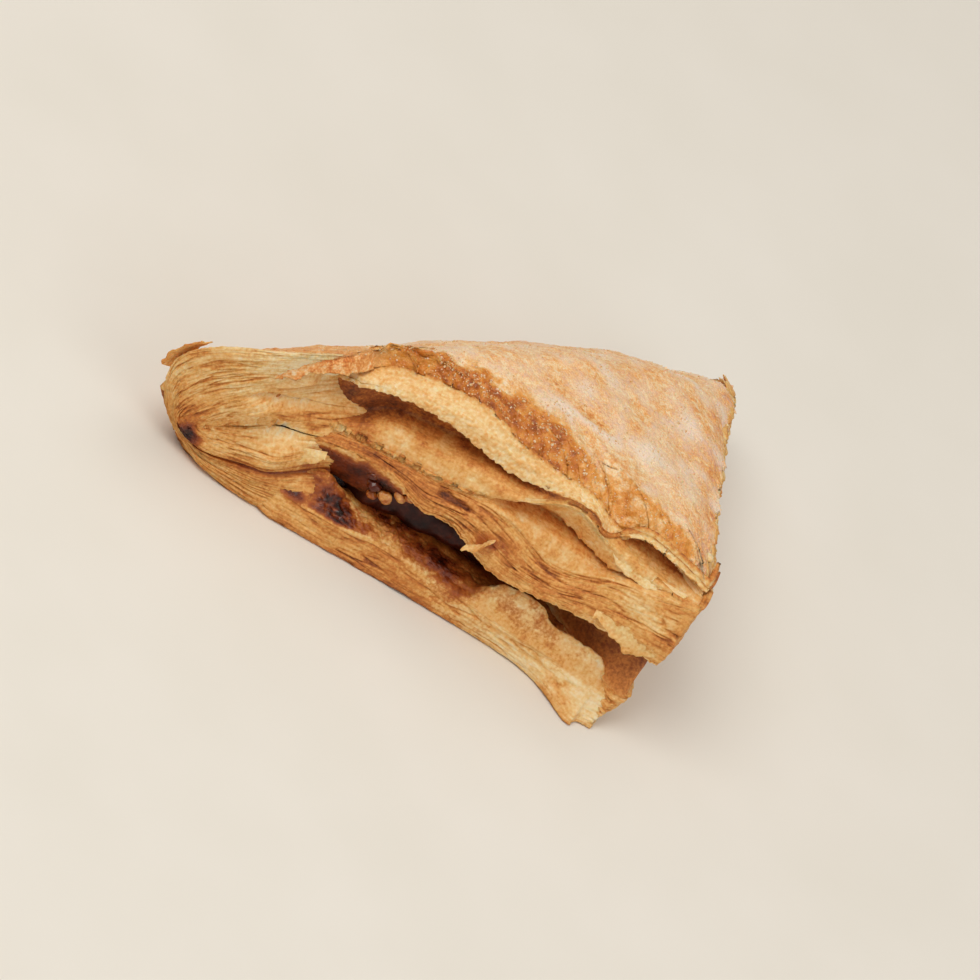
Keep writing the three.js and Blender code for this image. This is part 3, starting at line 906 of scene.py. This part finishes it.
class MESH_OT_turnover_roll(bpy.types.Operator):
    """Adds the leaves that turn round each other where the fold is cut"""

    bl_idname = "mesh.turnover_roll"
    bl_label = "Rolled leaves at the fold's end"

    def execute(self, context):
        core, heart, roll, skin = (
            smooth_line(line, ROLL_COLUMNS) for line in (ROLL_CORE, ROLL_HEART, ROLL_SKIN, FOLD_SKIN))
        lines = []
        for line, depth, bake_and_shade in ((core, 1.2, 0.3), (heart, -0.7, 0.3), (roll, -1.1, 0.36),
                                  (mix(roll, skin, 0.5), -0.6, 0.33), (skin, 0.5, 0.36)):
            # The foot spreads out over the base, and both ends run in behind the open front
            along_x, height = line[:, 0], line[:, 1]
            spread = depth - 2.6 * (1 - ease(height, 0, 8)) * ease(along_x, -2, 8)
            turning_in = ease(along_x, np.interp(height, (14, 24), (18, 0)), 34)
            sunk = mix(spread, np.interp(height, *zip(*FRONT_PROFILE)), turning_in)
            lines.append(np.stack((along_x, sunk, height, np.full(ROLL_COLUMNS, bake_and_shade)), axis=-1))
        # The outermost leaf goes on along the fold, under the crust
        lines.append(lines[-1] + np.array((5, 5.5, -3, 0.05)))
        points, level = drape(lines, ROLL_ROWS, ROLL_SOFTNESS)
        run = np.linspace(0, ROLL_LENGTH, ROLL_COLUMNS)[None, :]
        out, brown_and_gap_shade = strata(run, np.interp(level, (0, 1, 2, 3, 4, 5), (0, 3, 8, 14, 20, 26)), 70)
        along_x, height = points[..., 0], points[..., 2]
        low_pocket = spot((along_x, height), (14, 18.3), (6.5, 2.2)) * (1 - ease(level, 0.8, 1.2))
        high_pocket = spot((along_x, height), (13, 25), (9, 1.6)) * ease(level, 1.0, 1.3)
        high_pocket = high_pocket * (1 - ease(level, 1.8, 2.1))
        pockets = low_pocket + high_pocket
        cells = grain(np.stack((along_x, 0 * height, 0.3 * height), axis=-1) * MM, 1.4, 71, 2)
        bubbles = grain(points[..., :3] * MM, 0.8, 72, 2)
        nose = spot((along_x, height), (0.5, 6.5), (3.4, 3.6)) * ease(level, 1.2, 1.6)
        nose = nose * (1 - ease(level, 2.1, 2.5))
        seam = spot((level,), (2.15,), (0.12,)) * ease(run, 54, 60)
        stain = spot((along_x, height), (23, 14.5), (4, 1.8)) * ease(level, 1.4, 1.8)
        strip = spot((along_x, height), (2, 24), (6, 2.4)) * ease(level, 2, 2.3)
        raised = out * (1 - 0.9 * pockets) + 0.9 * cells * pockets + 0.14 * bubbles
        raised = raised - 0.8 * seam + 0.6 * np.sin(math.pi * np.clip(level - 1, 0, 1))
        bake_and_shade = points[..., 3] + brown_and_gap_shade * (1 - 0.9 * pockets) - 0.2 * pockets + 0.3 * cells * pockets
        # The seam's groove is painted darker and redder as shade
        bake_and_shade = bake_and_shade + 0.3 * nose + 0.16 * seam - 0.2 * strip + 0.08 * bubbles
        # Painted light: the roll is darker towards its foot and lighter towards its top
        bake_and_shade = bake_and_shade + 0.08 * (1 - ease(height, 6, 20)) - 0.26 * ease(height, 26, 35)
        points[..., 1] += 3.2 * high_pocket + 2.8 * low_pocket
        fields = {"bake_and_shade": bake_and_shade[:, ::-1], "jam_and_shade": (0.95 * nose + 0.5 * seam + 0.9 * stain)[:, ::-1]}
        pattern = (run[:, ::-1] * 0.1, level[:, ::-1] * 0.4)
        face_piece("rolled_leaves", points[:, ::-1, :3], fields, raised[:, ::-1], pattern)
        return {"FINISHED"}


# Loose leaves: name, front edge and root as (along, depth, height) in millimetres, and bake
LOOSE_LEAVES = (
    ("torn_flap", ((97, 3.4, 24), (103, 3, 22.5), (109, 3, 21), (115, 4.5, 24.5)),
     ((97, 6.5, 26), (104, 6.5, 28), (110, 6.5, 29.5), (116, 7, 30)), 0.26),
    ("tongue", ((17, 2.4, 9.5), (21, 2.2, 11), (25, 2.6, 14), (28.5, 3.5, 18)),
     ((16, 3.5, 11.5), (19, 3.5, 14), (23, 4, 17), (28, 4.5, 19.5)), 0.24),
    ("hair_flake", ((64.5, 2.8, 19), (66.5, 2.4, 20.5), (68.5, 2.6, 24.5)),
     ((65.5, 5, 20.5), (67.5, 5, 22), (69.5, 5, 25)), 0.3),
    ("curled_flake", ((-14, 0.5, 17), (-14.2, 0.5, 21), (-12.8, 0.5, 25), (-10.5, 0.5, 28.5)),
     ((-10.5, 3, 16.5), (-10.5, 3, 21), (-9.5, 3, 25), (-8, 3, 28)), 0.38),
    ("pocket_leaf", ((93, 10.6, 35), (99, 9.6, 33.5), (105, 9.4, 34.5), (111, 9.6, 36)),
     ((92, 12, 36.5), (99, 12, 36), (105, 12.4, 35.8), (112, 12, 36.8)), 0.18),
)


class MESH_OT_turnover_loose_leaves(bpy.types.Operator):
    """Adds the torn leaves that stand off the open front"""

    bl_idname = "mesh.turnover_loose_leaves"
    bl_label = "Loose leaves"

    def execute(self, context):
        for number, (name, edge, root, bake_and_shade) in enumerate(LOOSE_LEAVES):
            edge, root = smooth_line(edge, 70), smooth_line(root, 70)
            t = np.linspace(0, 1, 22)[:, None]
            points = mix(edge[None], root[None], t[..., None])
            run = np.linspace(0, np.linalg.norm(edge[-1] - edge[0]), 70)[None, :]
            torn = wobble(run, 80 + number, ((1.3, 0.05), (2.8, 0.12), (6, 0.28))) * (1 - t) ** 2
            toward = (root - edge) / np.linalg.norm(root - edge, axis=-1, keepdims=True)
            points = points + toward[None] * torn[..., None]
            placed = own_place(points)
            raised = 0.3 * grain(placed, 2.2, 85 + number) + 0.1 * grain(placed, 0.7, 95 + number, 2)
            placed = placed + outward(placed) * (raised * MM)[..., None]
            fields = {"bake_and_shade": bake_and_shade + 0.15 * raised + 0.12 * (1 - t) ** 4, "jam_and_shade": 0.0, "fibre": 0.2}
            piece = grid_piece(name, placed, fields, (run * 0.1, t * 0.3))
            give_thickness(piece, context.scene.turnover_leaves.thickness)
            finish_piece(piece, finish_of(baked_leaves))
        return {"FINISHED"}


def body_sections(s):
    """The dough's closed outline over each section: parts of (across, height, bake, fibre)."""
    rim = rim_across(s)
    lines = layer_lines(s)
    _, _, outermost = shell(s, rim)
    contact = np.minimum(shape_mm("fold_contact"), rim - 1)
    floor_depth, floor_height = lines["floor"]
    mouth_depth, mouth_height = lines["mouth"]
    # Behind the open front's own faces the body stays out of sight
    behind = ease(s, 12, 30) * (1 - ease(s, 104, 113))
    hollow = 1.6 * (1 - ease(s, 14, 28)) + behind * np.clip(0.42 * s, 0, 34)
    mouth_back = mix(floor_depth + along(MOUTH_DEPTH, s) + hollow, floor_depth + hollow + 1.5, behind)
    pocket_back = mix(along(POCKET_DEPTH, s) + hollow, hollow + 1.2, behind)
    middle = (floor_height + mouth_height) / 2
    pocket_middle = (lines["bundle"][1] + lines["lip"][1]) / 2
    skin = 1.7 * ease(s, -9, 0) * (1 - ease(s, 212, 221))
    parts = []

    def part(across, height, bake_and_shade, fibre=0.0):
        height = np.minimum(height, shell(s, across)[0] - behind)
        parts.append(np.broadcast_arrays(across, height, bake_and_shade, fibre))

    def by_depth(depth, height, bake_and_shade, fibre=0.0):
        part(rim - ROOT_2 * depth, height, bake_and_shade, fibre)

    def share(count, power=1.0):
        return (np.linspace(0, 1, count, endpoint=False) ** power)[None, :]

    # Round under the fold, and the flat underside
    t = share(8)
    across = mix(outermost, contact, t)
    part(across + skin * 0.8, shell(s, across)[1] + skin * 0.5, 0.5)
    t = share(14)
    across = mix(contact, rim - ROOT_2 * (lines["base"][0] + hollow), t)
    part(across, shell(s, across)[1], 0.62)
    # The bottom sheet's cut edge, the mouth's floor and its roof, both painted darker towards the back as
    # shade
    t = share(30)
    by_depth(mix(lines["base"][0], floor_depth, t) - 0.5 * np.sin(math.pi * t) + hollow,
             mix(lines["base"][1], floor_height, t), 0.6 - 0.28 * ease(t, 0, 0.2), 1)
    t = share(30, 1.3)
    by_depth(mix(floor_depth + hollow, mouth_back, t), mix(floor_height, middle, t ** 4), 0.42 + 0.3 * t)
    t = 1 - share(20, 0.8)
    by_depth(mix(mouth_depth + hollow, mouth_back, t), mix(mouth_height, middle, t ** 3), 0.5 + 0.3 * t)
    # The bundle's cut edge, the upper pocket's floor, painted darker towards the back as shade, and its
    # roof
    t = share(30)
    by_depth(mix(mouth_depth, 0, t) + hollow, mix(mouth_height, lines["bundle"][1], t), 0.42, 1)
    t = share(12, 1.2)
    by_depth(mix(hollow, pocket_back, t), mix(lines["bundle"][1], pocket_middle, t ** 1.8), 0.2 + 0.5 * t)
    t = 1 - share(8)
    by_depth(mix(-lines["rim"][0] + hollow, pocket_back, t),
             mix(lines["lip"][1], pocket_middle, t ** 1.4), 0.5)
    # The lip's cut edge, and back under the crust to the fold
    t = share(20)
    by_depth(mix(-lines["rim"][0], lines["rim"][0], t) + hollow,
             mix(lines["lip"][1], lines["rim"][1], t), 0.25, 0.6)
    t = share(8)
    by_depth(mix(lines["rim"][0], lines["crust"][0], t) + mix(hollow, hollow * 0.5, t) + skin,
             mix(lines["rim"][1], lines["crust"][1], t ** 0.7) - skin - behind, 0.6)
    t = share(26)
    crust_across = rim - ROOT_2 * (lines["crust"][0] + hollow * 0.5)
    across = mix(np.maximum(crust_across, outermost + 1), outermost, 1 - (1 - t) ** 2)
    part(across + skin, shell(s, across)[0] - skin - behind * (1 - t), 0.4)
    part(outermost + skin, shell(s, outermost)[0] + 0 * s, 0.45)
    parts.append([field[:, :1] for field in parts[0]])
    return [np.concatenate(fields, axis=1) for fields in zip(*parts)]


class MESH_OT_turnover_dough(bpy.types.Operator):
    """Adds the body of the dough, from its base round the right side to the fold"""

    bl_idname = "mesh.turnover_dough"
    bl_label = "Dough body"

    def execute(self, context):
        s = np.linspace(LEFT_END, FAR_END, DOUGH_SECTIONS)[:, None]
        across, height, bake_and_shade, fibre = body_sections(s)
        points = place(s, across, height)
        normal = outward(points)
        out, brown_and_gap_shade = strata(s + 0 * height, height * 0.8, 1)
        lumps = grain(points, 4.5, 2) * 0.3 * (1 - fibre) + grain(points, 1.0, 3, 2) * 0.12
        raised = (lumps + fibre * out * 1.2) * ease(height, 0.2, 1.5) * MM
        raised[:, -1] = raised[:, 0]
        points = points + normal * raised[..., None]
        points[..., 2] = np.maximum(points[..., 2], 0)
        points[:, -1] = points[:, 0]
        piece = grid_piece("dough_body", points, {"bake_and_shade": bake_and_shade + fibre * brown_and_gap_shade, "jam_and_shade": 0.0, "fibre": fibre},
                           (s * 0.1, height * 0.09))
        close_tube(piece)
        finish_piece(piece, finish_of(baked_leaves))
        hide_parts("pastry")
        return {"FINISHED"}


def crust_surface(s):
    """Points of the crust's outer side in metres, and how far round the fold each lies."""
    rim = rim_across(s)
    lines = layer_lines(s)
    _, _, outermost = shell(s, rim)
    t = np.linspace(0, 1, 36, endpoint=False)[None, :]
    ragged = wobble(s, 3, ((1.7, 0.12), (4.5, 0.25), (12, 0.3))) * ease(s, -5, 12)
    front = mix(lines["rim"][0], lines["crust"][0], t) + (1 - t) ** 2 * (ragged - 0.5)
    bulge = np.sin(math.pi * t) * 0.6 * ease(s, 0, 20)
    shoulder = mix(lines["rim"][1], lines["crust"][1], t ** 0.75) + bulge
    u = np.linspace(0, 1, 80)[None, :]
    top_across = mix(rim - ROOT_2 * lines["crust"][0], outermost, 1 - (1 - u) ** 1.8)
    v = np.linspace(0, 1, 11)[1:][None, :]
    under_across = mix(outermost, np.minimum(shape_mm("fold_contact"), rim - 1), v ** 1.5)
    across = np.concatenate([rim - ROOT_2 * front, top_across, under_across], axis=1)
    height = np.concatenate([shoulder, shell(s, top_across)[0], shell(s, under_across)[1]], axis=1)
    side = np.concatenate([0 * t + 0 * s, ease(u, 0.5, 1) + 0 * s, 1 + 0 * v + 0 * s], axis=1)
    points = in_mm(place(s, across, height))
    # Over the open front the rim comes down to the lip
    edge = points[:, 0, 0]
    foot = np.stack((curve_at(TOP_DEPTH, edge) + 0.2, curve_at(LIP_TOP, edge) + 0.3), axis=-1)
    over_front = (ease(s, 20, 30) * (1 - ease(s, 111, 119)))[:, 0]
    shift = (foot - points[:, 0, 1:]) * over_front[:, None]
    fade = 1 - ease(np.arange(points.shape[1]), 0, 58)
    points[..., 1:] += shift[:, None, :] * fade[None, :, None]
    return points, side


def crust_skin(s):
    """The crust with its relief, in metres, its normals, and its bake, sugar and caramel."""
    points, side = crust_surface(s)
    x, y, height = np.moveaxis(points, -1, 0)
    placed = own_place(points)
    normal = outward(placed)
    from_edge = y - y[:, :1]
    reach = curve_at(CARAMEL_WIDTH, x) * (1 + 0.35 * grain(placed, 5, 31, 2))
    front_side = 1 - ease(s, 106, 116)
    melt = (1 - ease(from_edge / reach, 0.6, 1.35)) * curve_at(CARAMEL_SHADE, x) * front_side
    melt = melt * ease(s, 18, 34) * (side < 0.2)
    rim_gold = spot((np.arange(placed.shape[1])[None, :],), (14,), (14,)) * (1 - front_side)
    swells = grain(placed, 16, 4, 2) * 0.5 + grain(placed, 7, 9, 2) * 0.3
    knobs = grain(placed, 3.6, 5, 3) * 0.32
    grit = grain(placed, 1.1, 6, 2) * 0.14
    clumps = melt * (0.75 * np.clip(0.4 + grain(placed, 2.2, 32, 3), 0, 1.3)
                     + 0.3 * grain(placed, 0.9, 33, 2))
    blister = spot((x, y), (75, 36.5), (5, 1.5))
    frosting = spot((x, y), (75, 33.5), (7, 1.3)) + spot((x, y), (92, 38), (6, 4))
    raised = swells + knobs + grit + clumps - 0.65 - 0.6 * blister + 0.3 * frosting
    raised = raised * ease(height, 0.3, 3)
    placed = placed + normal * (raised * MM)[..., None]
    placed[..., 2] = np.maximum(placed[..., 2], CRUST_THICKNESS)
    bake_and_shade = 0.24 + 0.12 * side + 0.1 * grain(placed, 11, 7, 3) + 0.12 * rim_gold + 0.12 * blister
    sugar = (1 - melt) * (1 - 0.8 * side) * (0.3 + 0.5 * grain(placed, 8, 8, 2)) + 0.65 * frosting
    # By the fold's end the front edge is bare and golden
    bare = (1 - ease(x, 26, 44)) * (1 - ease(from_edge, 3, 12)) * front_side
    bake_and_shade = bake_and_shade + 0.16 * bare
    sugar = sugar - 0.6 * blister - 0.9 * bare
    caramel = melt * (0.85 + 0.35 * grain(placed, 3, 34, 3)) - 0.2 * (1 - ease(melt, 0, 0.1))
    return placed, normal, {"bake_and_shade": bake_and_shade, "sugar": sugar, "caramel": caramel}


class MESH_OT_turnover_crust(bpy.types.Operator):
    """Adds the sugared top crust, from the caramelised rim over the top and round the fold"""

    bl_idname = "mesh.turnover_crust"
    bl_label = "Top crust"

    def execute(self, context):
        s = np.linspace(LEFT_END, CRUST_FAR_END, CRUST_SECTIONS)[:, None]
        points, normal, fields = crust_skin(s)
        coarse = (slice(None), slice(None, None, -CRUST_BACK_STEP))
        inner = points[coarse] - normal[coarse] * CRUST_THICKNESS
        inner[..., 2] = np.maximum(inner[..., 2], CRUST_THICKNESS)
        points = np.concatenate([points, inner, points[:, :1]], axis=1)
        fields = {name: np.concatenate([values, values[coarse], values[:, :1]], axis=1)
                  for name, values in fields.items()}
        run = np.linspace(0, 10, points.shape[1])[None, :]
        piece = grid_piece("top_crust", points, fields, (s * 0.1, run))
        close_tube(piece)
        finish_piece(piece, finish_of(sugared_crust))
        return {"FINISHED"}


class MESH_OT_turnover_crystals(bpy.types.Operator):
    """Scatters the sugar crystals over the crust"""

    bl_idname = "mesh.turnover_crystals"
    bl_label = "Sugar crystals"

    def execute(self, context):
        settings = context.scene.turnover_sugar
        chance = np.random.default_rng(91)
        points, normal, fields = crust_skin(np.linspace(-5, 219, 700)[:, None])
        weight = np.clip(fields["sugar"] - 0.1, 0, 1) + 0.7 * np.clip(fields["caramel"], 0, 1)
        weight = weight * np.linalg.norm(np.gradient(points, axis=1), axis=-1)
        weight[:, 90:] = 0
        weight = (weight * (normal[..., 2] > 0.3)).reshape(-1)
        picked = chance.choice(len(weight), settings.count, p=weight / weight.sum(), replace=False)
        bpy.ops.object.select_all(action="DESELECT")
        bpy.ops.mesh.primitive_ico_sphere_add(subdivisions=1, radius=0.5)
        piece = context.active_object
        piece.name = "sugar_crystals"
        copies = piece.modifiers.new("Copies", "ARRAY")
        copies.count = settings.count
        copies.use_relative_offset = False
        bpy.ops.object.modifier_apply(modifier=copies.name)
        # A ball blown up and cut off at its box has the flat sides of a crystal
        shape = vertices_of(piece.data).reshape(settings.count, -1, 3)
        shape = np.clip(shape * 1.5, -0.5, 0.5)
        sizes = settings.grain * chance.lognormal(0, 0.35, (settings.count, 1, 1))
        sizes = sizes * chance.uniform(0.6, 1.3, (settings.count, 1, 3))
        turns = np.linalg.qr(chance.normal(size=(settings.count, 3, 3)))[0]
        flip = np.linalg.det(turns) < 0
        turns[flip, :, 0] = -turns[flip, :, 0]
        shape = np.einsum("nij,nvj->nvi", turns, shape * sizes)
        places = points.reshape(-1, 3)[picked] + normal.reshape(-1, 3)[picked] * 0.03 * MM
        move_vertices(piece.data, shape + places[:, None])
        piece.data.update()
        finish_piece(piece, finish_of(sugar_crystals))
        return {"FINISHED"}


def leaf(s, depth, height, seed, bake_and_shade):
    """One leaf whose torn front edge shows at the cut side."""
    t = np.linspace(0, 1, 6)[None, :]
    chips = np.maximum(wobble(s, seed + 50, ((6, 0.5), (15, 0.6))) - 0.85, 0) * 1.6
    front = depth + wobble(s, seed, ((1.6, 0.05), (4.5, 0.13), (11, 0.22), (27, 0.3))) + chips
    lift = wobble(s, seed + 20, ((9, 0.07), (21, 0.22), (47, 0.3))) * (1 - 0.5 * t)
    points = at_depth(s, front + 3 * t, height + lift + 0.15 * t)
    points[..., 2] = np.maximum(points[..., 2], 0.25 * MM)
    shade = bake_and_shade + 0.12 * (1 - t) ** 2 + 0.1 * wobble(s, seed + 40, ((5, 0.4), (13, 0.7)))
    piece = grid_piece("leaf", points, {"bake_and_shade": shade, "jam_and_shade": 0.0, "fibre": 1.0}, (s * 0.1, seed + 0.3 * t))
    give_thickness(piece, bpy.context.scene.turnover_leaves.thickness)
    return piece


def leaf_stack(name, low, high, bakes, seed, count):
    """Leaves one above the other between two layer lines of the right side."""
    s = np.arange(117, 218, 0.5)[:, None]
    lines = layer_lines(s)
    chance = np.random.default_rng(seed)
    leaves = []
    for i in range(count):
        share = (i + 0.5 + chance.uniform(-0.25, 0.25)) / count
        depth = mix(lines[low][0], lines[high][0], share) + chance.uniform(-0.3, 0.4)
        height = mix(lines[low][1], lines[high][1], share)
        bake_and_shade = np.interp(share, np.linspace(0, 1, len(bakes)), bakes) + chance.uniform(-0.1, 0.1)
        leaves.append(leaf(s, depth, height, seed * 100 + i, bake_and_shade))
    piece = join_pieces(leaves, name)
    finish_piece(piece, finish_of(baked_leaves))
    return piece


class MESH_OT_turnover_leaves(bpy.types.Operator):
    """Adds the torn leaves along the right cut side: bottom sheet, middle bundle and lip"""

    bl_idname = "mesh.turnover_leaves"
    bl_label = "Leaves of the right side"

    def execute(self, context):
        leaf_stack("bottom_sheet_leaves", "base", "floor", (0.55, 0.34, 0.26, 0.3), 11, 9)
        leaf_stack("bundle_leaves", "mouth", "bundle", (0.42, 0.5, 0.38, 0.14), 12, 10)
        leaf_stack("lip_leaves", "lip", "rim", (0.2, 0.2, 0.26, 0.4), 13, 7)
        return {"FINISHED"}


# Lumps at the mouth: middle as (along, depth, height) in millimetres, radius and how dark
SYRUP_DROPS = (
    ((41.3, 6.4, 17.6), 1.5, 0.5), ((44.8, 6, 16.8), 1.6, 0.05), ((42.2, 6, 15.4), 1.1, 0.2),
    ((47.3, 5.8, 19.3), 1.3, 0.0), ((39.6, 6.2, 19.6), 1.0, 0.3), ((49, 5.6, 20.6), 1.0, 0.1),
)
DROP_STRETCH = np.array((1.2, 0.9, 0.9))


class MESH_OT_turnover_drops(bpy.types.Operator):
    """Adds the drops of set syrup that hang at the mouth"""

    bl_idname = "mesh.turnover_drops"
    bl_label = "Syrup drops"

    def execute(self, context):
        drops = []
        for middle, radius, shade in SYRUP_DROPS:
            bpy.ops.object.select_all(action="DESELECT")
            bpy.ops.mesh.primitive_ico_sphere_add(subdivisions=4, radius=radius * MM)
            drop = context.active_object
            places = vertices_of(drop.data)
            dents = 1 + 0.28 * grain(places + np.array(middle) * MM, 1.6, 68, 2)
            move_vertices(drop.data, places * dents[:, None] * DROP_STRETCH + own_place(middle))
            set_field(drop.data, "bake_and_shade", np.full(len(places), shade))
            bpy.ops.object.shade_smooth()
            drops.append(drop)
        piece = join_pieces(drops, "syrup_drops")
        finish_piece(piece, finish_of(syrup_drops))
        return {"FINISHED"}


class MESH_OT_turnover_filling(bpy.types.Operator):
    """Adds the cooked fruit between the sheets"""

    bl_idname = "mesh.turnover_filling"
    bl_label = "Fruit filling"

    def execute(self, context):
        s = np.linspace(FILLING_START, FILLING_END, 150)[:, None]
        lines = layer_lines(s)
        back = lines["floor"][0] + along(MOUTH_DEPTH, s)
        middle = (lines["floor"][1] + lines["mouth"][1]) / 2
        ends = ease(s, FILLING_START, FILLING_START + FILLING_TAPER)
        ends = ends * (1 - ease(s, FILLING_END - FILLING_TAPER, FILLING_END))
        front = mix(FILLING_TIP, FILLING_FRONT, ends)
        turn = np.linspace(0, 2 * math.pi, 65)[None, :]
        share = mix(front, FILLING_BACK, 0.5 - 0.5 * np.cos(turn) * np.abs(np.cos(turn)) ** -0.3)
        floor = mix(lines["floor"][1], middle, share ** 4) + 0.5
        roof = mix(lines["mouth"][1], middle, share ** 3) - 0.5
        side = 0.5 + 0.5 * np.sign(np.sin(turn)) * np.abs(np.sin(turn)) ** 0.6
        height = mix(floor, mix(floor, roof, 0.9), side)
        points = at_depth(s, mix(lines["mouth"][0], back, share), height)
        lumps = grain(points, 4, 21, 3) * 0.5 * MM
        lumps[:, -1] = lumps[:, 0]
        points = points + outward(points) * lumps[..., None]
        points[:, -1] = points[:, 0]
        piece = grid_piece("fruit_filling", points, {}, (s * 0.1, turn))
        close_tube(piece)
        finish_piece(piece, finish_of(cooked_fruit))
        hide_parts("filling")
        return {"FINISHED"}


# Soft lights: name, place and size in metres, and power in watts
LIGHTS = (
    ("key_light", (-0.5, -0.35, 1.0), 0.7, 6.2),
    ("fill_light", (0.7, -0.6, 0.6), 0.8, 2.1),
    ("top_light", (0.1, 0.4, 1.1), 0.9, 3.1),
)


class SCENE_OT_turnover_stage(bpy.types.Operator):
    """Sets the floor, the soft lights and the camera"""

    bl_idname = "scene.turnover_stage"
    bl_label = "Studio"

    def execute(self, context):
        stage = context.scene.turnover_stage
        bpy.ops.object.select_all(action="DESELECT")
        bpy.ops.mesh.primitive_plane_add(size=4)
        floor = context.active_object
        floor.name = "studio_floor"
        floor.data.materials.append(finish_of(floor_paper))
        for name, place_at, size, power in LIGHTS:
            bpy.ops.object.light_add(type="AREA", location=place_at)
            lamp = context.active_object
            lamp.name = name
            lamp.data.size = size
            lamp.data.energy = power
            lamp.data.color = linear("#fffcf7")[:3]
            lamp.rotation_euler = Vector(place_at).to_track_quat("Z", "Y").to_euler()
        world = bpy.data.worlds.new("soft studio")
        world.use_nodes = True
        world.node_tree.nodes["Background"].inputs["Color"].default_value = linear("#f6f1ea")
        world.node_tree.nodes["Background"].inputs["Strength"].default_value = 0.38
        context.scene.world = world
        context.scene.view_settings.view_transform = "Standard"
        back = Vector((
            math.sin(stage.azimuth) * math.cos(stage.elevation),
            -math.cos(stage.azimuth) * math.cos(stage.elevation),
            math.sin(stage.elevation),
        ))
        level = (-back).cross(Vector((0, 0, 1))).normalized()
        upright = level.cross(-back)
        right = level * math.cos(stage.roll) + upright * math.sin(stage.roll)
        up = upright * math.cos(stage.roll) - level * math.sin(stage.roll)
        target = CAD_LOW + FOLD_END + Vector(stage.target)
        bpy.ops.object.camera_add()
        camera = context.active_object
        camera.name = "camera"
        turned = Matrix((right, up, back)).transposed().to_4x4()
        camera.matrix_world = Matrix.Translation(target + back * stage.distance) @ turned
        camera.data.lens = stage.lens
        camera.data.sensor_width = 36
        camera.data.clip_end = 10
        context.scene.camera = camera
        return {"FINISHED"}


class VIEW3D_PT_turnover(bpy.types.Panel):
    """Builds the turnover step by step"""

    bl_label = "Turnover"
    bl_space_type = "VIEW_3D"
    bl_region_type = "UI"
    bl_category = "Turnover"

    def draw(self, context):
        column = self.layout.column(align=True)
        for name, kind in SETTINGS.items():
            for value in kind.__annotations__:
                column.prop(getattr(context.scene, name), value)
        for step in STEPS:
            column.operator(step.bl_idname)


SETTINGS = {
    "turnover_shape": TurnoverShape,
    "turnover_leaves": TurnoverLeaves,
    "turnover_sugar": TurnoverSugar,
    "turnover_stage": TurnoverStage,
}
STEPS = (
    MESH_OT_turnover_dough,
    MESH_OT_turnover_crust,
    MESH_OT_turnover_crystals,
    MESH_OT_turnover_leaves,
    MESH_OT_turnover_lower_face,
    MESH_OT_turnover_upper_face,
    MESH_OT_turnover_roll,
    MESH_OT_turnover_loose_leaves,
    MESH_OT_turnover_drops,
    MESH_OT_turnover_filling,
    SCENE_OT_turnover_stage,
)


def register():
    for kind in (*SETTINGS.values(), *STEPS, VIEW3D_PT_turnover):
        bpy.utils.register_class(kind)
    for name, kind in SETTINGS.items():
        setattr(bpy.types.Scene, name, bpy.props.PointerProperty(type=kind))


def unregister():
    for name in SETTINGS:
        delattr(bpy.types.Scene, name)
    for kind in reversed((*SETTINGS.values(), *STEPS, VIEW3D_PT_turnover)):
        bpy.utils.unregister_class(kind)


def main():
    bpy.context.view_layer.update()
    register()
    bpy.ops.mesh.turnover_dough()
    bpy.ops.mesh.turnover_crust()
    bpy.ops.mesh.turnover_crystals()
    bpy.ops.mesh.turnover_leaves()
    bpy.ops.mesh.turnover_lower_face()
    bpy.ops.mesh.turnover_upper_face()
    bpy.ops.mesh.turnover_roll()
    bpy.ops.mesh.turnover_loose_leaves()
    bpy.ops.mesh.turnover_drops()
    bpy.ops.mesh.turnover_filling()
    bpy.ops.scene.turnover_stage()


if __name__ == "__main__":
    main()
